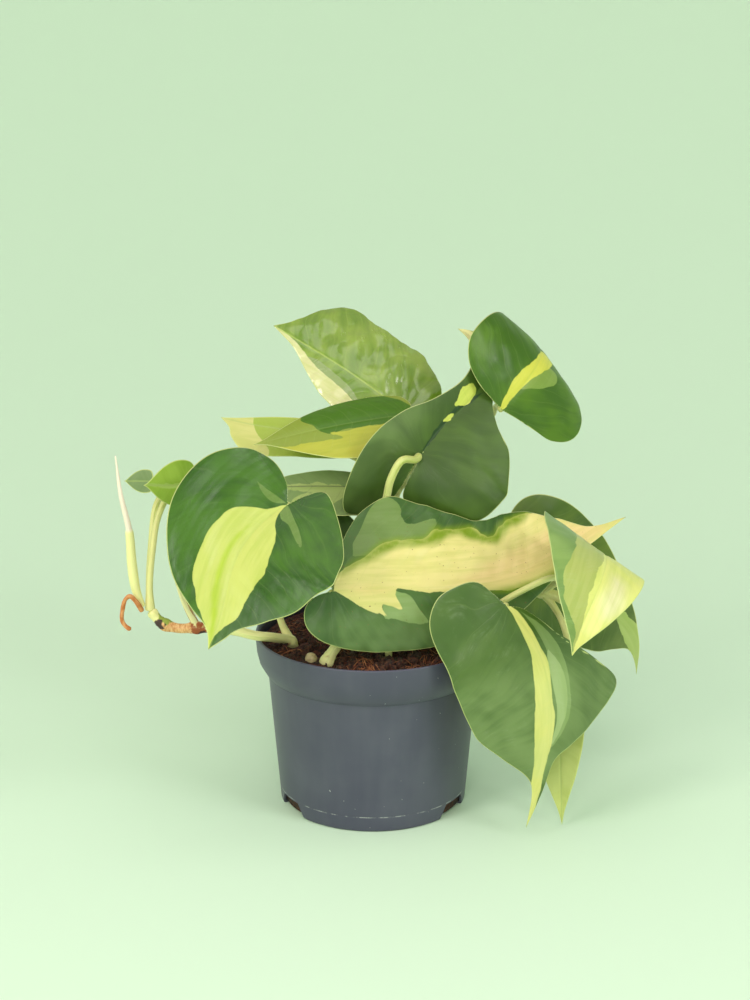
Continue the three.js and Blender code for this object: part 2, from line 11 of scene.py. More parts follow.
import bmesh
import bpy
import numpy as np
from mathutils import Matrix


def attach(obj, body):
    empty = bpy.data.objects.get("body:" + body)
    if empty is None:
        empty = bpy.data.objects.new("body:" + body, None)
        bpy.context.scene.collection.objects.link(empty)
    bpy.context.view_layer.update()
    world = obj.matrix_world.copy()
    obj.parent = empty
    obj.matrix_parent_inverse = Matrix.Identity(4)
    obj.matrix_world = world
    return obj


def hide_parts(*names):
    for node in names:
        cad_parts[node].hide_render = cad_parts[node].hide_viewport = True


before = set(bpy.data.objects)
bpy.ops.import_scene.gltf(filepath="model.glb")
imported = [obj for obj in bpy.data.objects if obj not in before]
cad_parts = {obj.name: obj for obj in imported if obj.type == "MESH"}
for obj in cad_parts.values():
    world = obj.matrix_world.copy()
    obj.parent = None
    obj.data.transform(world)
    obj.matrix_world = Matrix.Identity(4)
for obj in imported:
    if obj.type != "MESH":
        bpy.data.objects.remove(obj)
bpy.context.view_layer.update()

log = logging.getLogger("plant")

Array = np.ndarray
Point = tuple[float, float, float]
FlatPoint = tuple[float, float]
Outline = tuple[FlatPoint, ...]
Stations = tuple[float, ...]
Socket = bpy.types.NodeSocket

METRES = 0.001
ROOT_BODY = "root"
WELD = 1e-4
STEPS_PER_SPAN = 60


# Sizes that the parts of the plant share

POT_HEIGHT = 90.5
RIM_RADIUS = 60.0
BAND_HEIGHT = 19.5
BAND_FOOT_RADIUS = 55.4
SHOULDER_RADIUS = 53.8
FOOT_RADIUS = 47.9
WALL = 1.4
LIP = 0.7
SOIL_LEVEL = 85.0
MIX_GAP = 0.3


# Colour and noise

def hex_colour(code: str) -> tuple[float, float, float, float]:
    """Turns a web colour code into Blender's linear colour.

    Args:
        code: six hex digits, as read from a picture.

    Returns:
        Linear red, green and blue, and full opacity.
    """
    channels = [int(code[i:i + 2], 16) / 255 for i in (0, 2, 4)]
    red, green, blue = (c / 12.92 if c <= 0.04045 else ((c + 0.055) / 1.055) ** 2.4 for c in channels)
    return red, green, blue, 1.0


def hump(distance: Array, height: float, width: float, middle: float = 0.0) -> Array:
    """A smooth hump of a height, which fades over the width on both sides of its middle."""
    return height * np.exp(-((distance - middle) / width) ** 2)


def soft_waves(points: Array, size: float, seed: int, octaves: int = 3) -> Array:
    """Smooth unevenness: a sum of sine waves in random directions, each octave half as long.

    Args:
        points: positions in millimetres, one row each.
        size: length of the longest waves in millimetres.
        seed: which draw of directions and phases to use.
        octaves: how many sizes of wave to add.

    Returns:
        One value for each point, mostly between -1 and 1.
    """
    draw = np.random.default_rng(seed)
    waves = 6
    total = np.zeros(len(points))
    for octave in range(octaves):
        length = size / 2 ** octave
        directions = draw.normal(size=(waves, points.shape[1]))
        directions /= np.linalg.norm(directions, axis=1, keepdims=True)
        phases = draw.uniform(0, 2 * math.pi, waves)
        sines = np.sin(points @ directions.T * (2 * math.pi / length) + phases)
        total += sines.sum(1) / (waves // 2 * 2 ** octave)
    return total


# Surfaces

@dataclass
class Surface:
    """Points in millimetres with their faces, and named values carried by the points."""

    points: Array
    quads: Array
    triangles: Array = field(default_factory=lambda: np.zeros((0, 3), int))
    values: dict[str, Array] = field(default_factory=dict)

    def named(self, **values: Array | float) -> "Surface":
        """Adds values to the points and returns the surface."""
        for name, value in values.items():
            shape = (len(self.points),) + np.shape(value)[1:]
            self.values[name] = np.broadcast_to(np.asarray(value, float), shape).copy()
        return self


def joined(surfaces: Sequence[Surface]) -> Surface:
    """Puts several surfaces into one, where a missing value counts as nought.

    Args:
        surfaces: the surfaces, each with its own points.

    Returns:
        One surface with all the points and faces.
    """
    starts = np.cumsum([0] + [len(s.points) for s in surfaces[:-1]])
    widths = {name: value.shape[1:] for s in surfaces for name, value in s.values.items()}
    values = {
        name: np.concatenate([
            s.values.get(name, np.zeros((len(s.points),) + width)) for s in surfaces
        ])
        for name, width in widths.items()
    }
    return Surface(
        np.concatenate([s.points for s in surfaces]),
        np.concatenate([s.quads + start for s, start in zip(surfaces, starts)]),
        np.concatenate([s.triangles + start for s, start in zip(surfaces, starts)]),
        values,
    )


def plain_mesh(name: str, points: Array, faces: Sequence[Sequence[int]]) -> bpy.types.Mesh:
    """A mesh of points in millimetres and of faces with any number of corners."""
    mesh = bpy.data.meshes.new(name)
    mesh.from_pydata((points * METRES).tolist(), [], faces)
    return mesh


def linked(name: str, data: bpy.types.ID) -> bpy.types.Object:
    """A new object of a mesh, a camera or a light, set in the scene."""
    thing = bpy.data.objects.new(name, data)
    bpy.context.scene.collection.objects.link(thing)
    return thing


def make_piece(
    name: str, surface: Surface, material: bpy.types.Material, nodes: Sequence[str],
) -> bpy.types.Object:
    """Makes a smooth Blender piece of a surface and sets it on the plant's body.

    Args:
        name: the piece's name.
        surface: its points and faces.
        material: its finish.
        nodes: the CAD nodes that it stands for, if any.

    Returns:
        The new object.
    """
    mesh = bpy.data.meshes.new(name)
    sizes = np.concatenate([np.full(len(surface.quads), 4), np.full(len(surface.triangles), 3)])
    corners = np.concatenate([surface.quads.ravel(), surface.triangles.ravel()])
    mesh.vertices.add(len(surface.points))
    mesh.vertices.foreach_set("co", (surface.points * METRES).astype(np.float32).ravel())
    mesh.loops.add(len(corners))
    mesh.loops.foreach_set("vertex_index", corners.astype(np.int32))
    mesh.polygons.add(len(sizes))
    mesh.polygons.foreach_set("loop_start", (np.cumsum(sizes) - sizes).astype(np.int32))
    mesh.polygons.foreach_set("use_smooth", np.ones(len(sizes), bool))
    for label, value in surface.values.items():
        if value.ndim == 1:
            layer = mesh.attributes.new(label, "FLOAT", "POINT")
            layer.data.foreach_set("value", value.astype(np.float32))
        else:
            layer = mesh.attributes.new(label, "FLOAT_VECTOR", "POINT")
            layer.data.foreach_set("vector", value.astype(np.float32).ravel())
    mesh.update(calc_edges=True)
    mesh.validate()
    mesh.materials.append(material)
    piece = linked(name, mesh)
    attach(piece, ROOT_BODY)
    if nodes:
        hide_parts(*nodes)
    log.info("%s: %d points, %d faces", name, len(surface.points), len(sizes))
    return piece


def grid_quads(rows: int, columns: int, wrap: bool = False) -> Array:
    """The faces of a grid of points that is stored row by row.

    Args:
        rows: how many rows of points.
        columns: how many points in a row.
        wrap: whether each row closes on itself.

    Returns:
        Four point indices for each face.
    """
    i, j = np.meshgrid(np.arange(rows - 1), np.arange(columns if wrap else columns - 1), indexing="ij")
    after = (j + 1) % columns
    corners = [i * columns + j, i * columns + after, (i + 1) * columns + after, (i + 1) * columns + j]
    return np.stack(corners, -1).reshape(-1, 4)


def fan(middle: int, first: Array, second: Array) -> Array:
    """Triangles from one point to pairs of others, all given by index."""
    return np.stack([np.full(len(first), middle), first, second], -1)


def length_run(path: Array) -> Array:
    """The length run so far at each point of a path."""
    return np.concatenate([[0], np.cumsum(np.linalg.norm(np.diff(path, axis=0), axis=1))])


def smooth_stations(points: Sequence[Point | FlatPoint], count: int, power: float = 0.5) -> Array:
    """Evenly spaced points along a smooth curve through the given points.

    Each span is a cubic whose end slopes look at the points on both sides, at spacings that are
    the distances between the points to the given power, and past the ends the curve runs straight.

    Args:
        points: the points that the curve goes through.
        count: how many points to return.
        power: 0.5 keeps sharp turns tidy, 0 spaces the points alike.

    Returns:
        The points of the curve, one row each.
    """
    p = np.asarray(points, float)
    p = np.concatenate([[2 * p[0] - p[1]], p, [2 * p[-1] - p[-2]]])
    gap = np.linalg.norm(np.diff(p, axis=0), axis=1) ** power
    spans = len(p) - 3
    x = np.linspace(0, spans, STEPS_PER_SPAN * spans + 1)
    i = np.minimum(x.astype(int), spans - 1)
    t = (x - i)[:, None]
    before, here, after = (gap[i + k][:, None] for k in range(3))
    p0, p1, p2, p3 = (p[i + k] for k in range(4))
    start = ((p1 - p0) / before - (p2 - p0) / (before + here) + (p2 - p1) / here) * here
    end = ((p2 - p1) / here - (p3 - p1) / (here + after) + (p3 - p2) / after) * here
    curve = (
        p1 + start * t + (-3 * p1 + 3 * p2 - 2 * start - end) * t ** 2
        + (2 * p1 - 2 * p2 + start + end) * t ** 3
    )
    reach = length_run(curve)
    even = np.linspace(0, reach[-1], count)
    return np.stack([np.interp(even, reach, curve[:, k]) for k in range(p.shape[1])], -1)


def stepped(path: Sequence[Point], step: float) -> tuple[Array, Array, float]:
    """Stations about a step apart on the smooth curve through a path.

    Args:
        path: the points that the curve goes through.
        step: the distance to keep between stations, in millimetres.

    Returns:
        The stations, the length run at each, and the length of the straight spans between the points.
    """
    length = sum(math.dist(a, b) for a, b in zip(path, path[1:]))
    stations = smooth_stations(path, int(length / step))
    return stations, length_run(stations), length


def along(stations: Stations, fraction: Array) -> Array:
    """Values at fractions of a smooth curve through evenly spaced stations.

    Args:
        stations: the values at even steps from 0 to 1.
        fraction: where to read the curve.

    Returns:
        One value for each fraction.
    """
    v = np.asarray(stations, float)
    last = len(v) - 1
    if last == 0:
        return np.full(np.shape(fraction), v[0])
    x = np.clip(fraction, 0, 1) * last
    i = np.clip(x.astype(int), 0, last - 1)
    t = x - i
    p0, p1, p2, p3 = (v[np.clip(i + k, 0, last)] for k in (-1, 0, 1, 2))
    return 0.5 * (
        2 * p1 + (p2 - p0) * t + (2 * p0 - 5 * p1 + 4 * p2 - p3) * t ** 2
        + (3 * p1 - p0 - 3 * p2 + p3) * t ** 3
    )


def tube(
    path: Array, radii: Array, sides: int, ridge: Array | float = 0.0, ridges: int = 1,
    **values: Array | float,
) -> Surface:
    """A round stem along stations, closed at both ends.

    A point is its station plus the radius there times (cos a, sin a) on two directions square to
    the path, and the radius swells by the ridge share times cos(ridges * a). Named values give the
    length run so far, the way round, and the brown and green tints, which are nought if not given.

    Args:
        path: the stations in millimetres.
        radii: the radius at each station.
        sides: how many points go round.
        ridge: share of the radius by which the section is ridged, at each station or everywhere.
        ridges: how many ridges go round.
        values: more values for the points to carry, at each station or everywhere.

    Returns:
        The closed surface.
    """
    heading = np.gradient(path, axis=0)
    heading /= np.linalg.norm(heading, axis=1, keepdims=True)
    least = np.linalg.svd(path - path.mean(0), full_matrices=False)[2][2]
    up = least - heading * (heading @ least)[:, None]
    up /= np.linalg.norm(up, axis=1, keepdims=True)
    side = np.cross(heading, up)
    angle = np.arange(sides) * 2 * math.pi / sides
    swell = np.asarray(radii)[:, None] * (1 + np.reshape(ridge, (-1, 1)) * np.cos(ridges * angle))
    ring = (
        path[:, None] + swell[..., None] * np.cos(angle)[None, :, None] * side[:, None]
        + swell[..., None] * np.sin(angle)[None, :, None] * up[:, None]
    )
    body = ring.reshape(-1, 3)
    last = len(body) - sides
    around = np.arange(sides)
    onward = (around + 1) % sides
    caps = [fan(len(body), around, onward), fan(len(body) + 1, last + onward, last + around)]
    walls = grid_quads(len(path), sides, wrap=True)[:, ::-1]
    surface = Surface(np.concatenate([body, path[:1], path[-1:]]), walls, np.concatenate(caps))

    def spread(value: Array | float) -> Array:
        """A value at each station, for every point of its ring and for the two ends."""
        value = np.broadcast_to(value, len(path))
        return np.append(np.repeat(value, sides), value[[0, -1]])

    turn = np.append(np.tile(angle, len(path)), [0, 0])
    surface.named(stem=np.stack([spread(length_run(path)), np.cos(turn), np.sin(turn)], -1))
    values = {"brown": 0.0, "green": 0.0} | values
    return surface.named(**{name: spread(value) for name, value in values.items()})


def rounded_ends(reach: Array, radii: Array, round_start: bool = True) -> Array:
    """Shrinks radii near the ends of a stem so that the ends are domes.

    Args:
        reach: the length run at each station.
        radii: the radius at each station.
        round_start: whether the start is a dome too.

    Returns:
        The radii, down to almost nothing at a domed end.
    """
    def dome(distance: Array) -> Array:
        """The share of the radius left at a distance from the end: a quarter circle."""
        share = np.clip(distance / radii, 0, 1)
        return np.sqrt(np.clip(1 - (1 - share) ** 2, 0.004, 1))

    shaped = radii * dome(reach[-1] - reach)
    return shaped * dome(reach) if round_start else shaped


def turned(profile: Array, segments: int) -> Surface:
    """A surface of revolution about the Z axis, closed at the axis by its own first and last points.

    A point is (radius * cos a, radius * sin a, height) for even angles a.

    Args:
        profile: [radius, height] rows, both ends on the axis.
        segments: how many points go round.

    Returns:
        The closed surface.
    """
    angle = np.arange(segments) * 2 * math.pi / segments
    rings = profile[1:-1]
    body = np.stack([
        rings[:, :1] * np.cos(angle), rings[:, :1] * np.sin(angle),
        np.broadcast_to(rings[:, 1:], (len(rings), segments)),
    ], -1).reshape(-1, 3)
    around = np.arange(segments)
    onward = (around + 1) % segments
    last = len(body) - segments
    caps = [fan(len(body), onward, around), fan(len(body) + 1, last + around, last + onward)]
    axis = np.array([[0, 0, profile[0][1]], [0, 0, profile[-1][1]]])
    return Surface(
        np.concatenate([body, axis]), grid_quads(len(rings), segments, wrap=True), np.concatenate(caps),
    )


# Materials

class Nodes:
    """One material's nodes, with short ways to add the kinds used here."""

    def __init__(self, name: str) -> None:
        """Starts a material whose only shader is a plain principled one."""
        self.material = bpy.data.materials.new(name)
        self.material.use_nodes = True
        self.tree = self.material.node_tree
        self.tree.nodes.clear()
        self.shader = self.add("ShaderNodeBsdfPrincipled")
        self.add("ShaderNodeOutputMaterial", {"Surface": self.shader.outputs["BSDF"]})

    def fill(self, socket: Socket, value: object) -> None:
        """Links a socket to an input, or sets the input to a value, where text is a web colour."""
        if isinstance(value, Socket):
            self.tree.links.new(value, socket)
        else:
            socket.default_value = hex_colour(value) if isinstance(value, str) else value

    def add(self, kind: str, inputs: dict | None = None, **settings: object) -> bpy.types.Node:
        """Adds a node and fills it in.

        Args:
            kind: Blender's name for the kind of node.
            inputs: a value or a socket to link for each input, by name or by number.
            settings: the node's own properties.

        Returns:
            The new node.
        """
        node = self.tree.nodes.new(kind)
        for name, value in settings.items():
            setattr(node, name, value)
        for key, value in (inputs or {}).items():
            self.fill(node.inputs[key], value)
        return node

    def dress(self, **inputs: object) -> None:
        """Sets or links the shader's inputs, named with underscores for spaces."""
        for name, value in inputs.items():
            self.fill(self.shader.inputs[name.replace("_", " ")], value)

    def value(self, name: str) -> Socket:
        """A number carried by the points."""
        return self.add("ShaderNodeAttribute", attribute_name=name).outputs["Fac"]

    def vector(self, name: str) -> Socket:
        """Three numbers carried by the points."""
        return self.add("ShaderNodeAttribute", attribute_name=name).outputs["Vector"]

    def split(self, vector: Socket) -> list[Socket]:
        """The three numbers of a vector, one by one."""
        return list(self.add("ShaderNodeSeparateXYZ", {0: vector}).outputs)

    def joined(self, x: object, y: object, z: object) -> Socket:
        """A vector of three numbers."""
        return self.add("ShaderNodeCombineXYZ", {0: x, 1: y, 2: z}).outputs[0]

    def place(self) -> Socket:
        """The position on the model in millimetres."""
        spot = self.add("ShaderNodeTexCoord").outputs["Object"]
        inputs = {0: spot, "Scale": 1 / METRES}
        return self.add("ShaderNodeVectorMath", inputs, operation="SCALE").outputs[0]

    def math(self, operation: str, *values: object) -> Socket:
        """One sum done with numbers or sockets."""
        return self.add("ShaderNodeMath", dict(enumerate(values)), operation=operation).outputs[0]

    def plus(self, first: object, second: object) -> Socket:
        """A sum."""
        return self.math("ADD", first, second)

    def minus(self, first: object, second: object) -> Socket:
        """A difference."""
        return self.math("SUBTRACT", first, second)

    def times(self, value: object, factor: object, more: object = None) -> Socket:
        """A product, plus more if that is given."""
        if more is None:
            return self.math("MULTIPLY", value, factor)
        return self.math("MULTIPLY_ADD", value, factor, more)

    def step(self, value: object, low: float, high: float, top: object = 1.0) -> Socket:
        """A soft step from nought to the top value between two values, downward if low is above high."""
        inputs = {"Value": value, "From Min": low, "From Max": high, "To Min": 0.0, "To Max": top}
        return self.add("ShaderNodeMapRange", inputs, interpolation_type="SMOOTHSTEP").outputs[0]

    def mix(self, share: object, first: object, second: object) -> Socket:
        """A blend of two colours, of which the second counts by the share."""
        return self.add("ShaderNodeMix", {0: share, 6: first, 7: second}, data_type="RGBA").outputs[2]

    def noise(self, vector: Socket, size: float, detail: float = 3.0, rough: float = 0.5) -> Socket:
        """Cloudy noise, around a half, whose lumps are about the size given in the vector's own unit."""
        inputs = {"Vector": vector, "Scale": 1 / size, "Detail": detail, "Roughness": rough}
        return self.add("ShaderNodeTexNoise", inputs).outputs[0]

    def bump(self, height: Socket, depth: float, strength: float = 1.0) -> Socket:
        """A surface normal from a height of 0 to 1 that stands for the depth in millimetres."""
        inputs = {"Strength": strength, "Distance": depth * METRES, "Height": height}
        return self.add("ShaderNodeBump", inputs).outputs[0]


# Leaf blades

VEIN_SPACING = 9.0
VEIN_SLANT = 0.55
VEIN_CURVE = 0.007
LOBE_VEIN_ANGLE = 18.0
LOBE_REACH = 20.0
MIDRIB_STEP = 0.5
MIDRIB_SHARE = 2.2
MARGIN_POWER = 1.3
BLADE_ROWS = 104
BLADE_COLUMNS = 24

# The height and the width of the groove over the midrib and of the keel under it, in millimetres
GROOVE = (0.30, 0.9)
KEEL = (0.75, 1.1)

# How far from the midrib, or from the margin, a form of the blade has grown to its full size
FOLD_ROUND = 1.5
QUILT_FROM_RIB = 4.0
QUILT_FROM_MARGIN = 5.0
WAVE_FROM_RIB = 14.0

# The sizes of the patterns in the leaf's skin in millimetres
CLOUD = 26.0
VEIN_WANDER = 19.0
STREAK = 4.2
HAIR = 1.1
SECTOR_STEP = 6.5
BRUSHED = 3.4
RUST = 1.3
DROP = 11.0
CELL = 0.7
PLEAT = 6.0
CRINKLE = 15.0

# What is left of a mark's red, green and blue in its shaded streaks
STREAK_SHADE = (0.84, 0.90, 0.72)


@dataclass(frozen=True)
class Mark:
    """A sector of another tone on a blade, or painted shade or highlight: its colour, where it lies and
    how wide its edge fades.
    """

    name: str
    tone: str
    outlines: tuple[Outline, ...]
    fade: float = 0.5


@dataclass(frozen=True)
class PaintedSheen:
    """A painted sheen: a painted highlight that turns one part of a leaf paler and greyer.

    Each span says where there is none of it and where it is full, in millimetres.
    """

    along: FlatPoint | None = None
    across: FlatPoint | None = None
    share: float = 0.0
    tone: str = "a9bf84"


@dataclass(frozen=True)
class LeafFinish:
    """Living leaf skin: greens in sectors along the veins, waxy gloss and a hair-thin pale margin."""

    green: str
    light: str
    under: str = "8fa566"
    rib: str = "a5b668"
    rib_share: float = 0.45
    rib_width: float = 0.8
    margin: str = "cfd68a"
    gloss: float = 0.32
    wax: float = 0.36
    veins: float = 0.12
    ragged: float = 1.6
    speckle: float = 0.0
    pleat: float = 1.6
    crinkle: float = 0.0
    painted_sheen: PaintedSheen = PaintedSheen()
    film: float = 0.03
    seed: float = 1.0

    def patched(
        self, n: Nodes, colour: Socket, marks: Sequence[Mark], jag: Socket, streaks: Socket,
    ) -> Socket:
        """Lays the marks over the leaf's green.

        Args:
            n: the material's nodes.
            colour: the green below.
            marks: the marks, lowest layer first.
            jag: millimetres by which the marks' edges step in and out.
            streaks: noise, long along the blade, that shades the marks from inside.

        Returns:
            The colour with its marks.
        """
        for mark in marks:
            tone = hex_colour(mark.tone)
            faded = (*(channel * share for channel, share in zip(tone, STREAK_SHADE)), 1.0)
            shade = n.mix(n.step(streaks, 0.38, 0.66, 0.75), tone, faded)
            reach = n.plus(n.value(f"mark_{mark.name}"), jag)
            colour = n.mix(n.step(reach, -0.3 * mark.fade, 0.7 * mark.fade), colour, shade)
        return colour

    def material(self, name: str, marks: Sequence[Mark]) -> bpy.types.Material:
        """Makes the leaf's material.

        Args:
            name: the leaf's name.
            marks: the marks that its points carry, lowest layer first.

        Returns:
            The material.
        """
        n = Nodes(f"philodendron leaf skin {name}")
        u, v, edge = n.split(n.vector("blade"))
        across = n.math("ABSOLUTE", v)
        under = n.value("under")
        flat_space = n.joined(u, v, 5.1 * self.seed)
        clouds = n.noise(flat_space, CLOUD, 2.0)
        wander = n.noise(flat_space, VEIN_WANDER, 1.0)
        phase = n.plus(n.value("vein"), n.times(wander, 1.3, -0.65))

        # Streaks run along the lateral veins: fine across them, long along them
        side = n.times(n.math("SIGN", v), 7.3, 11.7 * self.seed)
        streak_space = n.joined(n.times(phase, VEIN_SPACING), n.times(across, 0.12), side)
        streaks = n.noise(streak_space, STREAK, 2.0)
        hairs = n.noise(streak_space, HAIR, 2.0)
        tone = n.plus(clouds, n.times(streaks, 0.35))
        colour = n.mix(n.step(tone, 0.52, 0.86), self.green, self.light)

        # Sectors of other tones, and marks of painted shade and painted highlight, whose edges step in and
        # out with the veins
        steps = n.noise(streak_space, SECTOR_STEP, 1.0)
        jag = n.times(steps, 2.2 * self.ragged, -1.1 * self.ragged)
        jag = n.plus(jag, n.times(hairs, 0.4 * self.ragged, -0.2 * self.ragged))
        long_space = n.joined(n.times(u, 0.10), v, 3.7 * self.seed)
        colour = self.patched(n, colour, marks, jag, n.noise(long_space, BRUSHED, 3.0, 0.6))
        if self.speckle:
            specks = n.step(n.noise(flat_space, RUST, 1.0), 0.735, 0.775, self.speckle)
            colour = n.mix(specks, colour, "7a4f2a")

        # Painted sheen: a painted highlight that turns part of the leaf paler and greyer
        if self.painted_sheen.share:
            reach = n.step(v, *self.painted_sheen.across) if self.painted_sheen.across else n.step(u, *self.painted_sheen.along)
            patchy = n.step(n.times(streaks, 0.25, clouds), 0.25, 0.95, self.painted_sheen.share)
            colour = n.mix(n.times(reach, patchy), colour, self.painted_sheen.tone)

        # Lateral veins that fade in and out, the midrib and the pale margin
        near = n.math("PINGPONG", n.plus(phase, 0.5), 0.5)
        lateral = n.step(near, 0.44, 0.5)
        faint = n.times(lateral, n.step(clouds, 0.62, 0.42, self.veins))
        colour = n.mix(faint, colour, n.mix(0.6, colour, self.rib))
        beside = n.minus(across, n.times(under, 0.5))
        rib = n.step(beside, self.rib_width * 0.75, self.rib_width * 0.3, self.rib_share)
        colour = n.mix(rib, colour, self.rib)
        colour = n.mix(n.step(edge, 0.5, 0.25, 0.7), colour, self.margin)
        colour = n.mix(n.times(under, 0.45), colour, self.under)

        # A thin dusty film, which shows where drops have dried
        dried = n.step(n.noise(flat_space, DROP, 4.0, 0.65), 0.5, 0.72)
        drops = n.times(dried, n.step(hairs, 0.4, 0.65))
        colour = n.mix(n.times(drops, self.film), colour, "c3d0ae")

        # Waxy skin: fine cells, sunken veins, pleats or crinkles, and an uneven shine
        cells = n.noise(flat_space, CELL, 3.0, 0.6)
        relief = n.minus(n.times(cells, 0.12), n.times(lateral, 0.12))
        relief = n.plus(relief, n.times(n.noise(long_space, PLEAT, 1.0), self.pleat))
        if self.crinkle:
            folds = n.math("ABSOLUTE", n.minus(n.noise(flat_space, CRINKLE, 1.0), 0.5))
            relief = n.times(folds, self.crinkle, relief)
        shine = n.step(n.plus(clouds, n.times(under, 0.5)), 0.3, 0.9)
        n.dress(
            Base_Color=colour, Roughness=n.times(n.plus(shine, drops), 0.10, self.gloss),
            Normal=n.bump(relief, 0.20, 0.6), Specular_IOR_Level=self.wax, Subsurface_Weight=0.06,
            Subsurface_Radius=(0.9, 1.0, 0.3), Subsurface_Scale=METRES,
        )
        return n.material


def signed_distance(spots: Array, outline: Outline) -> Array:
    """How far flat points lie inside a smooth closed outline, which has one corner at its first point.

    Args:
        spots: flat points in millimetres.
        outline: the outline's points in order.

    Returns:
        Millimetres to the outline, above nought inside it.
    """
    ring = smooth_stations(outline + outline[:1], 140)
    first, second = ring[:-1], ring[1:]
    step = second - first
    least = 1e-9
    offset = spots[:, None] - first
    share = np.clip((offset * step).sum(-1) / np.maximum((step ** 2).sum(-1), least), 0, 1)
    distance = np.linalg.norm(offset - share[..., None] * step, axis=-1).min(1)
    crossing = (first[:, 1] > spots[:, None, 1]) != (second[:, 1] > spots[:, None, 1])
    rise = np.where(step[:, 1] == 0, least, step[:, 1])
    at = first[:, 0] + (spots[:, None, 1] - first[:, 1]) * step[:, 0] / rise
    inside = (crossing & (spots[:, None, 0] < at)).sum(1) % 2 == 1
    return np.where(inside, distance, -distance)


def heart(length: float, half_width: float, lobe: float) -> Outline:
    """The plain half outline of the species.

    Args:
        length: from the stalk to the drip tip.
        half_width: across the half at its widest.
        lobe: how far the back lobe reaches behind the stalk.

    Returns:
        Points round the half from the stalk by the back lobe to the tip.
    """
    lobed = ((0, 0), (0.55, 0.10), (1, 0.38), (0.75, 0.70), (0.10, 0.92))
    tipped = ((0.16, 1), (0.34, 0.97), (0.52, 0.82), (0.68, 0.58), (0.82, 0.30), (0.92, 0.10), (1, 0))
    back = tuple((-u * lobe, v * half_width) for u, v in lobed)
    return back + tuple((u * length, v * half_width) for u, v in tipped)


def rotation(axis: int, degrees: Array | float) -> Array:
    """Rotation matrices about one of the axes, one for each angle.

    Args:
        axis: 0, 1 or 2 for X, Y or Z.
        degrees: the angles.

    Returns:
        The matrices, with the angles' own shape in front.
    """
    angle = np.radians(degrees)
    turn = np.zeros(np.shape(angle) + (3, 3))
    i, j = (axis + 1) % 3, (axis + 2) % 3
    turn[..., axis, axis] = 1
    turn[..., i, i] = turn[..., j, j] = np.cos(angle)
    turn[..., j, i] = np.sin(angle)
    turn[..., i, j] = -np.sin(angle)
    return turn


